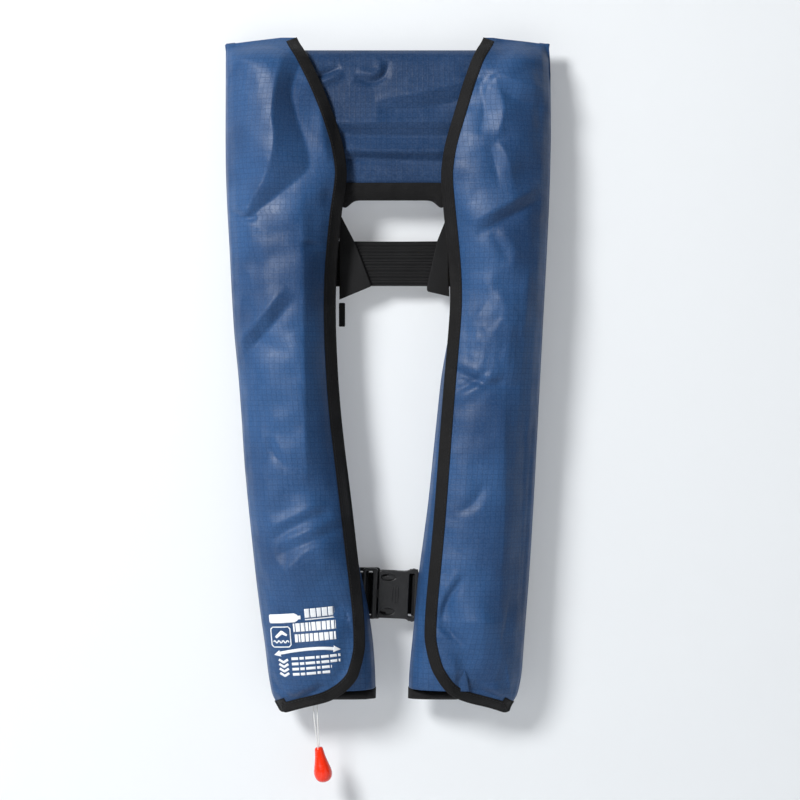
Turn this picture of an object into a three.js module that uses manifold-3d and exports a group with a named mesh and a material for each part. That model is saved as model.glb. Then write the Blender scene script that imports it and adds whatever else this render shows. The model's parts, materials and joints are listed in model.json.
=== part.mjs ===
// An inflatable life jacket, laid flat with its flaps closed and its belt folded behind it.
// Millimetres. +X is right as seen from the front, -Y is the front, +Z is up.
// The origin is the middle of the collar's back face, where it meets the nape.
// "left" and "right" are as seen from the front.
import * as THREE from "three";
import { mergeVertices } from "three/addons/utils/BufferGeometryUtils.js";
import Module from "manifold-3d";

const wasm = await Module();
wasm.setup();

// ---- driving dimensions ----
const GAP = 0.3; // clearance between neighbouring solids
const CLOTH = 1.4; // cover fabric with its lining
const TAPE = 10; // visible width of the edge binding
const CHEST_DEPTH = 46; // lobe thickness over the chest
const SHOULDER_DEPTH = 31; // lobe thickness at the top
const LOBE_TOP = 84;
const LOBE_BOTTOM = -568;
const RIM = 3; // depth of a lobe at its very edge
const PANEL_FRONT = -2; // the back panel fills from here to the back plane, y = 0
const SKIN_BACK = PANEL_FRONT - GAP; // cover fabric stops here

const COLLAR_DEPTH = 20;
const COLLAR_TOP = 72;
const COLLAR_BOTTOM = -75;
const COLLAR_WEST = -97;
const COLLAR_EAST = 104;

// Layers of the folded cover, counted inwards from the outer surface of a lobe.
const HOOK_LAYER = [1.8, 2.8];
const LOOP_LAYER = [3.1, 4.0];
const UNDER_LAYER = [4.3, 5.5];
const REFLECTIVE_LAYER = [5.0, 5.9];
const BLADDER_INSET = 6.2;
const BLADDER_SHEET = -7.5; // front face of the single bladder layer under the hardware

const HARDWARE_TOP = -342; // below this the middle of each lobe holds hardware
const HARDWARE_Y = -24; // middle of the cylinder, lever, tube and whistle

const BELT_LEVEL = -452.6;
const BELT_WIDTH = 40;
const BELT_THICK = 1.6;
const BELT_FRONT_Y = 6.2; // middle of the run that holds the buckle
const BELT_BACK_Y = 13.4; // middle of the run that lies behind everything
const BELT_FOLD_WEST = -114;
const BELT_FOLD_EAST = 126;
const BUCKLE_TILT = THREE.MathUtils.degToRad(2.5);

// ---- colours ----
const navy = (name) => cloth(name, 0x3c5f91);
const black = (name) => cloth(name, 0x222222);

function cloth(name, color) {
  return { name, color, roughness: 0.75, metalness: 0 };
}
function plastic(name, color) {
  return { name, color, roughness: 0.4, metalness: 0 };
}
function metal(name, color) {
  return { name, color, roughness: 0.3, metalness: 1 };
}

// ---- helpers: between three.js geometry and manifold solids ----
function solid(geometry) {
  const bare = new THREE.BufferGeometry();
  const loose = geometry.index ? geometry.toNonIndexed() : geometry;
  bare.setAttribute("position", loose.getAttribute("position"));
  const merged = mergeVertices(bare, 1e-4);
  return new wasm.Manifold(
    new wasm.Mesh({
      numProp: 3,
      vertProperties: merged.getAttribute("position").array,
      triVerts: new Uint32Array(merged.index.array),
    }),
  );
}

function geometryOf(body) {
  const mesh = body.getMesh();
  const geometry = new THREE.BufferGeometry();
  geometry.setAttribute("position", new THREE.BufferAttribute(mesh.vertProperties, 3));
  geometry.setIndex(new THREE.BufferAttribute(mesh.triVerts, 1));
  return geometry.toNonIndexed();
}

// The largest connected piece: trimming a thin shell can leave crumbs at its border.
function mainPiece(body) {
  return body.decompose().reduce((a, b) => (a.volume() > b.volume() ? a : b));
}

const assembly = new THREE.Group();
assembly.name = "inflatable_life_jacket";

function add(look, body, parent = assembly) {
  const geometry = body.isBufferGeometry ? body : geometryOf(mainPiece(body));
  geometry.computeVertexNormals();
  const { name, ...finish } = look;
  const mesh = new THREE.Mesh(geometry, new THREE.MeshStandardMaterial(finish));
  mesh.name = name;
  parent.add(mesh);
  return mesh;
}

// ---- helpers: shapes ----
const point = (x, z) => new THREE.Vector2(x, z);

function polygon(points) {
  return new THREE.Shape(points);
}

// A prism along Y whose outline is drawn in X and Z.
function slab(shape, yFront, yBack, curveSegments = 6) {
  const depth = yBack - yFront;
  const geometry = new THREE.ExtrudeGeometry(shape, { depth, bevelEnabled: false, curveSegments });
  return geometry.rotateX(Math.PI / 2).translate(0, yBack, 0);
}

// A prism along Z whose outline is drawn in X and Y.
function post(shape, zLow, zHigh) {
  const depth = zHigh - zLow;
  const geometry = new THREE.ExtrudeGeometry(shape, { depth, bevelEnabled: false, curveSegments: 6 });
  return geometry.translate(0, 0, zLow);
}

function box(low, high) {
  const size = high.map((value, i) => value - low[i]);
  const middle = high.map((value, i) => (value + low[i]) / 2);
  return new THREE.BoxGeometry(...size).translate(...middle);
}

// A block round the whole jacket, except where a limit is given.
function zone({ west = -200, east = 200, front = -90, back = 60, low = -640, high = 120 }) {
  return solid(box([west, front, low], [east, back, high]));
}

function roundedBar(width, height, radius) {
  const shape = new THREE.Shape();
  const x = width / 2;
  const z = height / 2;
  shape.moveTo(radius - x, -z);
  shape.lineTo(x - radius, -z);
  shape.absarc(x - radius, radius - z, radius, -Math.PI / 2, 0);
  shape.lineTo(x, z - radius);
  shape.absarc(x - radius, z - radius, radius, 0, Math.PI / 2);
  shape.lineTo(radius - x, z);
  shape.absarc(radius - x, z - radius, radius, Math.PI / 2, Math.PI);
  shape.lineTo(-x, radius - z);
  shape.absarc(radius - x, radius - z, radius, Math.PI, 1.5 * Math.PI);
  return shape;
}

function rodY(x, z, radius, yFront, yBack, sides = 16) {
  const geometry = new THREE.CylinderGeometry(radius, radius, yBack - yFront, sides);
  return geometry.translate(x, (yFront + yBack) / 2, z);
}

function rodZ(x, y, radius, zLow, zHigh, sides = 16) {
  const geometry = new THREE.CylinderGeometry(radius, radius, zHigh - zLow, sides);
  return geometry.rotateX(Math.PI / 2).translate(x, y, (zLow + zHigh) / 2);
}

// A turned piece about a vertical axis; the profile lists [radius, z] upwards.
function turned(profile, x, y, z, sides = 16) {
  const points = profile.map(([radius, height]) => point(radius, height));
  return new THREE.LatheGeometry(points, sides).rotateX(Math.PI / 2).translate(x, y, z);
}

// A round cord along a smooth path.
function cord(points, radius, steps, curveSegments = 3) {
  const path = new THREE.CatmullRomCurve3(points.map((p) => new THREE.Vector3(...p)));
  const round = new THREE.Shape().absarc(0, 0, radius, 0, 2 * Math.PI);
  return new THREE.ExtrudeGeometry(round, { extrudePath: path, steps, curveSegments });
}

function coil(x, y, zLow, zHigh, radius, wire, turns) {
  const points = [];
  const perTurn = 8;
  for (let i = 0; i <= turns * perTurn; i++) {
    const angle = (2 * Math.PI * i) / perTurn;
    const z = THREE.MathUtils.lerp(zLow + wire, zHigh - wire, i / (turns * perTurn));
    points.push([x + radius * Math.cos(angle), y + radius * Math.sin(angle), z]);
  }
  return cord(points, wire, points.length - 1, 2);
}

// x as a smooth function of z through [z, x] pairs listed upwards.
function edge(pairs) {
  const heights = pairs.map(([z]) => z);
  const places = pairs.map(([, x]) => x);
  const curve = new THREE.CubicInterpolant(heights, places, 1, new Float32Array(1));
  return (z) => curve.evaluate(z)[0];
}

function roundedEnd(distance, radius, power = 2.4) {
  if (distance >= radius) return 1;
  return (1 - (1 - Math.max(distance, 0) / radius) ** power) ** (1 / power);
}

// ---- the two lobes ----
// west and east are the borders of the folded lobe; free is the bound free edge of its front flap,
// from the shoulder down and round the bottom corner.
const left = {
  side: "left",
  gapSign: 1,
  west: edge([
    [-568, -97], [-560, -105], [-550, -110], [-508, -116], [-461, -122.8], [-392, -130.5],
    [-323, -137.2], [-253, -141.5], [-212, -146], [-111, -151.7], [-57, -154.6], [84, -154.6],
  ]),
  east: edge([
    [-568, -8], [-544, -6], [-519, -7], [-484, -10], [-433, -20], [-380, -32], [-323, -39],
    [-265, -45.7], [-219, -48.6], [-161, -49.6], [-115, -46.7], [-80, -42.9], [-57, -38],
    [-38, -38], [1, -49.6], [47, -67.9], [66, -77.5], [84, -89],
  ]),
  free: [
    [-92, 90], [-77.5, 66.4], [-57.3, 24.1], [-42.9, -18.3], [-37.5, -47], [-42.9, -79.9],
    [-49.6, -160.8], [-45.7, -264.8], [-32.3, -380.4], [-20.7, -490.2], [-28.4, -530.6],
    [-44.8, -547], [-79.4, -561.4], [-110, -565.5],
  ],
  fold: [point(-48.5, -185), point(-107, -562)],
};
const right = {
  side: "right",
  gapSign: -1,
  west: edge([
    [-568, 16], [-544, 17], [-519, 18], [-484, 22], [-427, 27], [-380, 34], [-323, 40],
    [-265, 46], [-230, 50], [-196, 57], [-172, 61.5], [-138, 61], [-91, 57], [-57, 53],
    [-34, 53], [12, 67], [59, 81], [84, 96],
  ]),
  east: edge([
    [-568, 114], [-560, 121], [-550, 126], [-484, 133.4], [-438, 137.2], [-323, 144],
    [-230, 148.8], [-103, 155.5], [-57, 157.5], [40, 157.5], [78, 153], [84, 150],
  ]),
  free: [
    [99, 90], [81.4, 58.7], [66.9, 12.5], [53.4, -33.7], [53, -57], [61.1, -137.7],
    [62.1, -172.4], [54.4, -264.8], [45.7, -380.4], [37.1, -476.7], [39, -507.5],
    [48.6, -530.6], [61.1, -546], [81.4, -555.7], [116, -564.5],
  ],
  fold: [point(60.5, -185), point(119, -562)],
};

function lobeDepth(z) {
  const fall = THREE.MathUtils.smoothstep(LOBE_TOP - z, 0, 150);
  const full = THREE.MathUtils.lerp(SHOULDER_DEPTH, CHEST_DEPTH, fall);
  return full * roundedEnd(z - LOBE_BOTTOM, 62) * roundedEnd(LOBE_TOP - z, 26);
}

// The share of a lobe's depth that its gap side keeps, so that it rides over the collar.
function collarRide(z) {
  const near = THREE.MathUtils.smoothstep(z, COLLAR_BOTTOM - 22, COLLAR_BOTTOM + 14);
  return near * Math.min(1, (COLLAR_DEPTH + 1.8) / Math.max(lobeDepth(z), 1));
}

const LOBE_COLUMNS = 10;
const LOBE_ROWS = 20;

// The closed body inside a lobe's outer surface, moved inwards by inset.
function lobeBody(lobe, inset) {
  const geometry = new THREE.BoxGeometry(1, 1, 1, LOBE_COLUMNS, 1, LOBE_ROWS);
  const position = geometry.getAttribute("position");
  for (let i = 0; i < position.count; i++) {
    const across = 0.5 - 0.5 * Math.cos(Math.PI * (position.getX(i) + 0.5));
    const height = position.getZ(i) + 0.5;
    const eased = (height + 0.5 - 0.5 * Math.cos(Math.PI * height)) / 2;
    const z = THREE.MathUtils.lerp(LOBE_BOTTOM + inset, LOBE_TOP - inset, eased);
    const x = THREE.MathUtils.lerp(lobe.west(z) + inset, lobe.east(z) - inset, across);
    const crown = (1 - Math.abs(2 * across - 1) ** 2.4) ** (1 / 2.4);
    const fromGap = lobe.gapSign > 0 ? 1 - across : across;
    const ride = fromGap < 0.5 ? collarRide(z) : 0;
    const depth = RIM + Math.max(lobeDepth(z) - inset - RIM, 0) * (ride + (1 - ride) * crown);
    position.setXYZ(i, x, position.getY(i) < 0 ? -depth : 0, z);
  }
  return solid(geometry);
}

function lobeShell(lobe, outer, inner) {
  const shell = lobeBody(lobe, outer).subtract(lobeBody(lobe, inner));
  return shell.subtract(zone({ front: SKIN_BACK }));
}

// Planform of the front flap: everything on the outer side of the free edge.
function frontRegion(lobe, inward = 0) {
  const outside = -lobe.gapSign * 220;
  const border = shifted(lobe.free, -lobe.gapSign * inward);
  return polygon([...border, point(outside, -600), point(outside, 120)]);
}

// A planform curve moved sideways: positive distance moves it to +X where it runs down.
function shifted(pairs, distance) {
  const curve = new THREE.SplineCurve(pairs.map(([x, z]) => point(x, z)));
  const divisions = 24;
  const points = [];
  for (let i = 0; i <= divisions; i++) {
    const tangent = curve.getTangentAt(i / divisions);
    const normal = point(-tangent.y, tangent.x);
    points.push(curve.getPointAt(i / divisions).addScaledVector(normal, distance));
  }
  return points;
}

// One side of the line on which the flap folds open; sign is +1 for the gap side.
function foldSide(lobe, sign, clearance) {
  const [top, bottom] = lobe.fold;
  const along = bottom.clone().sub(top).normalize();
  const across = point(-along.y, along.x);
  if (across.x * lobe.gapSign * sign < 0) across.negate();
  const start = top.clone().addScaledVector(along, -400).addScaledVector(across, clearance);
  const end = top.clone().addScaledVector(along, 900).addScaledVector(across, clearance);
  const far = across.clone().multiplyScalar(500);
  const points = [start, end, end.clone().add(far), start.clone().add(far)];
  return solid(slab(polygon(points), -90, 20));
}

const IN_FRONT = [-90, 20];

function region(shape) {
  return solid(slab(shape, ...IN_FRONT));
}

// Front cover, its opening flap and the black tape bound over their free edge.
function addFront(lobe) {
  const shell = lobeShell(lobe, 0, CLOTH).intersect(region(frontRegion(lobe, TAPE + GAP)));
  const tapeShell = lobeShell(lobe, -0.6, CLOTH + 0.2);
  const tapeRegion = region(frontRegion(lobe)).subtract(region(frontRegion(lobe, TAPE)));
  const clearOfCollar = collarBody(-GAP, COLLAR_WEST - 1, COLLAR_EAST + 1);
  const cover = shell.subtract(clearOfCollar);
  const tape = tapeShell.intersect(tapeRegion).subtract(clearOfCollar);
  const sewn = foldSide(lobe, -1, GAP / 2);
  const loose = foldSide(lobe, 1, GAP / 2);
  add(navy(`front_cover_${lobe.side}`), cover.intersect(sewn));
  add(navy(`front_flap_${lobe.side}`), cover.intersect(loose));
  add(black(`cover_binding_${lobe.side}`), tape.intersect(sewn));
  add(black(`flap_binding_${lobe.side}`), tape.intersect(loose));
}

// The under flap wraps round the gap side of the lobe and is bound along its bottom.
const UNDER_TOP = -190;
const UNDER_BOTTOM = -552;
const UNDER_REACH = 28;
const UNDER_CORNER_HIGH = -498; // below this it stops short of the fold, clear of the opening flap
const UNDER_CORNER_WIDTH = 36;

function underRegion(lobe, low, high) {
  const inside = shifted(lobe.free, -lobe.gapSign * UNDER_REACH);
  const farGap = lobe.gapSign * 150;
  const strip = polygon([...inside, point(farGap, -600), point(farGap, 120)]);
  const corner = zone({ high: UNDER_CORNER_HIGH }).subtract(foldSide(lobe, 1, UNDER_CORNER_WIDTH));
  return region(strip).intersect(zone({ low, high })).subtract(corner);
}

function addUnderFlap(lobe) {
  const seam = UNDER_BOTTOM + TAPE;
  const shell = lobeShell(lobe, ...UNDER_LAYER);
  add(navy(`under_flap_${lobe.side}`), shell.intersect(underRegion(lobe, seam + GAP, UNDER_TOP)));
  const tape = lobeShell(lobe, UNDER_LAYER[0] - 0.4, UNDER_LAYER[1] + 0.3);
  add(black(`under_binding_${lobe.side}`), tape.intersect(underRegion(lobe, UNDER_BOTTOM, seam)));
}

// Hook tape on the flap closes on loop tape on the under flap.
const CLOSURE_LOW = -420;
const CLOSURE_HIGH = -360;
const CLOSURE_FROM_EDGE = [12, 26];

function addClosure(lobe) {
  const [near, far] = CLOSURE_FROM_EDGE;
  const inner = region(frontRegion(lobe, near));
  const strip = inner.subtract(region(frontRegion(lobe, far)));
  const patch = strip.intersect(zone({ low: CLOSURE_LOW, high: CLOSURE_HIGH }));
  add(black(`hook_tape_${lobe.side}`), lobeShell(lobe, ...HOOK_LAYER).intersect(patch));
  add(black(`loop_tape_${lobe.side}`), lobeShell(lobe, ...LOOP_LAYER).intersect(patch));
}

// ---- collar ----
// The closed body of the collar between two ends, moved inwards by inset.
function collarBody(inset, west, east) {
  const geometry = new THREE.BoxGeometry(1, 1, 1, 10, 1, 14);
  const position = geometry.getAttribute("position");
  for (let i = 0; i < position.count; i++) {
    const x = THREE.MathUtils.lerp(west, east, position.getX(i) + 0.5);
    const height = 0.5 - 0.5 * Math.cos(Math.PI * (position.getZ(i) + 0.5));
    const z = THREE.MathUtils.lerp(COLLAR_BOTTOM + inset, COLLAR_TOP - inset, height);
    const crown = (1 - Math.abs(2 * height - 1) ** 3) ** (1 / 3);
    const depth = RIM + (COLLAR_DEPTH - inset - RIM) * crown;
    position.setXYZ(i, x, position.getY(i) < 0 ? -depth : 0, z);
  }
  return solid(geometry);
}

const COLLAR_COVER_WEST = -88;
const COLLAR_COVER_EAST = 94;

function collarShell(outer, inner) {
  const shell = collarBody(outer, COLLAR_COVER_WEST, COLLAR_COVER_EAST).subtract(
    collarBody(inner, COLLAR_COVER_WEST - 9, COLLAR_COVER_EAST + 9),
  );
  return shell.subtract(zone({ front: SKIN_BACK }));
}

function addCollar() {
  const seam = COLLAR_BOTTOM + TAPE + 2;
  const above = zone({ low: seam + GAP });
  const below = zone({ high: seam });
  add(navy("collar_cover"), collarShell(0, CLOTH).intersect(above));
  add(black("collar_binding"), collarShell(-0.2, CLOTH + 0.4).intersect(below));
}

// ---- back panel ----
const PANEL_INSET = 5;

function sideOutline(lobe) {
  const gapSide = lobe.gapSign > 0 ? lobe.east : lobe.west;
  const outerSide = lobe.gapSign > 0 ? lobe.west : lobe.east;
  const rows = 14;
  const down = [];
  const up = [];
  for (let i = 0; i <= rows; i++) {
    const high = LOBE_TOP - PANEL_INSET;
    const low = LOBE_BOTTOM + 14;
    const z = THREE.MathUtils.lerp(high, low, i / rows);
    down.push(point(gapSide(z) - lobe.gapSign * PANEL_INSET, z));
    up.unshift(point(outerSide(z) + lobe.gapSign * PANEL_INSET, z));
  }
  return polygon([...down, ...up]);
}

function addBackPanel() {
  const yoke = polygon([
    point(-110, COLLAR_TOP - 3), point(116, COLLAR_TOP - 3),
    point(80, COLLAR_BOTTOM + 3), point(-70, COLLAR_BOTTOM + 3),
  ]);
  const plate = (shape) => solid(slab(shape, PANEL_FRONT, 0));
  add(navy("back_panel"), plate(sideOutline(left)).add(plate(sideOutline(right))).add(plate(yoke)));
}

// ---- bladder ----
// A yellow horseshoe, rolled on the outer side of each lobe and flat behind the hardware.
const BAY = { left: [-102, 20], right: [10, 103] };

function bayOf(lobe) {
  const [west, east] = BAY[lobe.side];
  return zone({ west, east, back: BLADDER_SHEET, high: HARDWARE_TOP });
}

function addBladder() {
  const collarPart = collarBody(BLADDER_INSET - 3.8, -92, 98);
  const sleeve = collarBody(-0.6, COLLAR_COVER_WEST - 1, COLLAR_COVER_EAST + 1).subtract(
    collarBody(CLOTH + 0.7, -150, 150),
  );
  const lobes = [left, right].map((lobe) => {
    const whole = lobeBody(lobe, BLADDER_INSET);
    const tail = zone({ high: UNDER_BOTTOM + 3 });
    return whole.subtract(bayOf(lobe)).subtract(tail);
  });
  const horseshoe = lobes[0].add(lobes[1]).subtract(sleeve).add(collarPart);
  const back = zone({ front: SKIN_BACK - GAP });
  const bladder = horseshoe.subtract(back);
  add(plastic("bladder", 0xf2c21b), bladder);
}

const REFLECTIVE_LOW = -470;
const REFLECTIVE_HIGH = -400;

function addReflectiveTape(lobe, west, east) {
  const patch = zone({ west, east, low: REFLECTIVE_LOW, high: REFLECTIVE_HIGH });
  const name = `reflective_tape_${lobe.side}`;
  const look = { name, color: 0xd8dcdf, roughness: 0.3, metalness: 0.4 };
  add(look, lobeShell(lobe, ...REFLECTIVE_LAYER).intersect(patch));
}

// ---- inflator ----
const INFLATOR_X = -79.5;
const INFLATOR_TOP = -484;
const INFLATOR_BOTTOM = -520;
const INFLATOR_FRONT = -31;
const INFLATOR_BACK = -11;
const STEM_X = INFLATOR_X - 9;
const STEM_Z = -506;
const STEM_RADIUS = 4;
const LEVER_Z = -526; // pivot height
const LEVER_THICK = 6;
const LEVER_TURN = THREE.MathUtils.degToRad(80);
const PIN_LIFT = 4.5;
const HUB_RADIUS = 4.2;
const PIN_RADIUS = 1.4;
const PIN_HEAD_RADIUS = 2.8;
const PIN_BOTTOM = LEVER_Z + HUB_RADIUS + 0.9;
const EYE = [INFLATOR_X + 11.5, -506];

function addManifold() {
  const flangeBack = BLADDER_SHEET - GAP;
  const flangeFront = flangeBack - 1.5;
  const flange = solid(rodY(STEM_X, STEM_Z, 13, flangeFront, flangeBack, 20));
  const stem = solid(rodY(STEM_X, STEM_Z, STEM_RADIUS, INFLATOR_FRONT - 3.2, flangeFront + 0.5));
  add(metal("inflation_manifold", 0xb8a15a), flange.add(stem));
  addGasket("gasket_rear", flangeFront - 0.2, INFLATOR_BACK + 0.2);
  addGasket("gasket_front", INFLATOR_FRONT - 1.4, INFLATOR_FRONT - 0.2);
}

function addGasket(name, yA, yB) {
  const yFront = Math.min(yA, yB);
  const yBack = Math.max(yA, yB);
  const ring = solid(rodY(STEM_X, STEM_Z, 7, yFront, yBack));
  const bore = solid(rodY(STEM_X, STEM_Z, STEM_RADIUS + GAP, yFront - 1, yBack + 1));
  add(cloth(name, 0x181818), ring.subtract(bore));
}

function addInflatorBody() {
  const outline = roundedBar(24, INFLATOR_TOP - INFLATOR_BOTTOM, 3);
  const block = solid(slab(outline, INFLATOR_FRONT, INFLATOR_BACK, 3).translate(
    INFLATOR_X - 4, 0, (INFLATOR_TOP + INFLATOR_BOTTOM) / 2,
  ));
  const socket = solid(rodZ(INFLATOR_X, HARDWARE_Y, 9, INFLATOR_TOP - 4, INFLATOR_TOP + 5, 20));
  const cheekShape = polygon([
    point(INFLATOR_X - 8, INFLATOR_BOTTOM + 3), point(INFLATOR_X - 6, LEVER_Z - 6),
    point(INFLATOR_X + 6, LEVER_Z - 6), point(INFLATOR_X + 7.6, INFLATOR_BOTTOM + 3),
  ]);
  const cheeks = solid(slab(cheekShape, HARDWARE_Y - 7, HARDWARE_Y + 7));
  const leverSlot = solid(box(
    [INFLATOR_X - 14, HARDWARE_Y - LEVER_THICK / 2 - GAP, LEVER_Z - 12],
    [INFLATOR_X + 14, HARDWARE_Y + LEVER_THICK / 2 + GAP, LEVER_Z + 9.6],
  ));
  const body = block.add(socket).add(cheeks).subtract(leverSlot)
    .subtract(solid(rodZ(INFLATOR_X, HARDWARE_Y, 6.9, INFLATOR_TOP - 11, INFLATOR_TOP + 10)))
    .subtract(solid(rodZ(INFLATOR_X, HARDWARE_Y, 3.2, LEVER_Z, INFLATOR_TOP - 10)))
    .subtract(solid(rodY(INFLATOR_X, LEVER_Z, 1.9, HARDWARE_Y - 10, HARDWARE_Y + 10, 12)))
    .subtract(solid(rodY(STEM_X, STEM_Z, STEM_RADIUS + GAP, -60, 0)));
  add(plastic("inflator_body", 0x2a2a2c), body);
}

function addCapNut() {
  const back = INFLATOR_FRONT - 1.7;
  const nut = solid(rodY(STEM_X, STEM_Z, 8, back - 2.6, back, 6));
  const bore = solid(rodY(STEM_X, STEM_Z, STEM_RADIUS + GAP, back - 1.8, back + 1));
  add(metal("cap_nut", 0xc2a24a), nut.subtract(bore));
}

// The lever's hub is a cam that grows by the pin's lift over the lever's turn.
function leverShape() {
  const shape = new THREE.Shape();
  const steps = 8;
  shape.moveTo(0, HUB_RADIUS);
  for (let i = 1; i <= steps; i++) {
    const angle = Math.PI / 2 + (LEVER_TURN * i) / steps;
    const radius = HUB_RADIUS + (PIN_LIFT * i) / steps;
    shape.lineTo(radius * Math.cos(angle), radius * Math.sin(angle));
  }
  shape.absarc(0, 0, HUB_RADIUS, Math.PI * 1.02, Math.PI * 1.5);
  shape.lineTo(11, -HUB_RADIUS);
  shape.absarc(11, 0.3, 4.5, -Math.PI / 2, 0);
  shape.lineTo(15.5, 20.4);
  shape.absarc(11.9, 20.4, 3.6, 0, Math.PI);
  shape.lineTo(8.6, 1.5);
  shape.lineTo(3.6, 1.5);
  return shape;
}

function addLever() {
  const y = [HARDWARE_Y - LEVER_THICK / 2, HARDWARE_Y + LEVER_THICK / 2];
  const arm = solid(slab(leverShape(), ...y, 5).translate(INFLATOR_X, 0, LEVER_Z));
  const pivotBore = solid(rodY(INFLATOR_X, LEVER_Z, 1.9, -60, 0, 12));
  const eyeBore = solid(rodY(...EYE, 2, -60, 0, 12));
  add(plastic("firing_lever", 0xd8d8d6), arm.subtract(pivotBore).subtract(eyeBore));
  const pivot = solid(rodY(INFLATOR_X, LEVER_Z, 1.5, HARDWARE_Y - 7.5, HARDWARE_Y + 7.5, 12));
  add(metal("lever_pivot_pin", 0xc9ccd0), pivot);
  const clipLow = [INFLATOR_X + 8.6, HARDWARE_Y - 7.4, -516];
  const clipHigh = [INFLATOR_X + 15, HARDWARE_Y - 3.6, -510];
  add(plastic("indicator_clip", 0x3aa655), solid(box(clipLow, clipHigh)));
}

function addPiercingPin() {
  const tip = PIN_BOTTOM + 21;
  const profile = [
    [0, PIN_BOTTOM], [PIN_HEAD_RADIUS, PIN_BOTTOM], [PIN_HEAD_RADIUS, PIN_BOTTOM + 1.6],
    [PIN_RADIUS, PIN_BOTTOM + 1.6], [PIN_RADIUS, tip - 3], [0, tip],
  ];
  add(metal("piercing_pin", 0xb9bdc2), solid(turned(profile, INFLATOR_X, HARDWARE_Y, 0, 12)));
  const springLow = PIN_BOTTOM + 1.9;
  const spring = coil(INFLATOR_X, HARDWARE_Y, springLow, springLow + 13, 2.3, 0.4, 4);
  add(metal("piercing_spring", 0xaeb3b8), solid(spring));
}

// A 33 g steel cylinder, screwed neck down into the inflator.
function addCylinder() {
  const foot = INFLATOR_TOP - 10;
  const radius = 15;
  const length = 136;
  const profile = [
    [0, 0], [6.3, 0], [6.3, 15.6], [8.5, 17.5], [13.2, 23], [radius, 30], [radius, length - 13],
    [13.2, length - 5.5], [8, length - 1], [0, length],
  ];
  add(metal("co2_cylinder", 0xa9adb2), solid(turned(profile, INFLATOR_X, HARDWARE_Y, foot, 20)));
}

// ---- pull cord and toggle ----
const CORD_RADIUS = 1.2;
const CORD_Y = HARDWARE_Y + 7.6; // the cord hangs behind the lever
const TOGGLE_TOP = [-65.2, -12, -598];
const TOGGLE_TILT = THREE.MathUtils.degToRad(10);

function addPullCord() {
  const [x, z] = EYE;
  const [endX, endY, endZ] = TOGGLE_TOP;
  const path = [
    [x, HARDWARE_Y - 5, z], [x, HARDWARE_Y, z], [x, CORD_Y - 2, z - 0.5],
    [x, CORD_Y, z - 5], [x, CORD_Y, z - 22], [x, CORD_Y + 1, -560],
    [x + 1.2, endY - 1, -578], [endX, endY, endZ + 1.5],
  ];
  add(cloth("pull_cord", 0xf3f3f0), solid(cord(path, CORD_RADIUS, 26)));
}

// A teardrop knob: [radius, distance below its top].
function addToggle() {
  const profile = [
    [0, -34], [4.5, -33], [7.6, -30], [8.7, -26], [8.2, -21.5],
    [6.4, -14.5], [4.7, -7], [3.8, -2], [3, 0], [0, 0],
  ];
  const knob = new THREE.LatheGeometry(profile.map(([radius, z]) => point(radius, z)), 18);
  knob.rotateX(Math.PI / 2).rotateY(-TOGGLE_TILT).translate(...TOGGLE_TOP);
  add(plastic("pull_toggle", 0xf03a10), solid(knob));
}

// ---- oral inflation ----
const ORAL_X = 64;
const TUBE_RADIUS = 7;
const TUBE_TOP = -420;

function addOralTube() {
  const flangeBack = BLADDER_SHEET - GAP;
  const path = new THREE.CatmullRomCurve3([
    new THREE.Vector3(ORAL_X, flangeBack - 1, -518),
    new THREE.Vector3(ORAL_X, flangeBack - 4, -518),
    new THREE.Vector3(ORAL_X, HARDWARE_Y + 2, -514),
    new THREE.Vector3(ORAL_X, HARDWARE_Y, -502),
    new THREE.Vector3(ORAL_X, HARDWARE_Y, TUBE_TOP - 30),
    new THREE.Vector3(ORAL_X, HARDWARE_Y, TUBE_TOP),
  ]);
  const ring = new THREE.Shape().absarc(0, 0, TUBE_RADIUS, 0, 2 * Math.PI);
  ring.holes.push(new THREE.Path().absarc(0, 0, TUBE_RADIUS - 1.6, 0, 2 * Math.PI, true));
  const tube = new THREE.ExtrudeGeometry(ring, { extrudePath: path, steps: 12, curveSegments: 6 });
  const flange = solid(rodY(ORAL_X, -518, 15, flangeBack - 1.5, flangeBack, 20));
  add(plastic("oral_tube", 0x1d1f22), solid(tube).add(flange));
}

function addOralValve() {
  const spigot = TUBE_RADIUS - 1.6 - GAP;
  const body = [
    [3, -11], [spigot, -11], [spigot, GAP], [9, GAP], [9, 27],
    [6.6, 27], [6.6, 9], [3, 7], [3, -11],
  ];
  add(plastic("oral_valve_body", 0x2c3a4a), solid(turned(body, ORAL_X, HARDWARE_Y, TUBE_TOP, 18)));
  const poppet = [
    [0, 10], [1.2, 10], [1.2, 20], [5.8, 20], [5.8, 22.5], [2.2, 22.5], [2.2, 25], [0, 25],
  ];
  add(plastic("valve_poppet", 0x161616), solid(turned(poppet, ORAL_X, HARDWARE_Y, TUBE_TOP, 14)));
  const springLow = TUBE_TOP + 9.3;
  const spring = coil(ORAL_X, HARDWARE_Y, springLow, springLow + 10.2, 4.4, 0.45, 3);
  add(metal("valve_spring", 0xaeb3b8), solid(spring));
  const cap = [
    [9.4, 12], [10.8, 12], [10.8, 30.5], [0, 30.5], [0, 28.6], [9.4, 28.6], [9.4, 12],
  ];
  add(plastic("oral_dust_cap", 0xd23a1e), solid(turned(cap, ORAL_X, HARDWARE_Y, TUBE_TOP, 18)));
}

// ---- whistle ----
const WHISTLE = [87, -430]; // x and z of the hole that it hangs from

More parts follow.
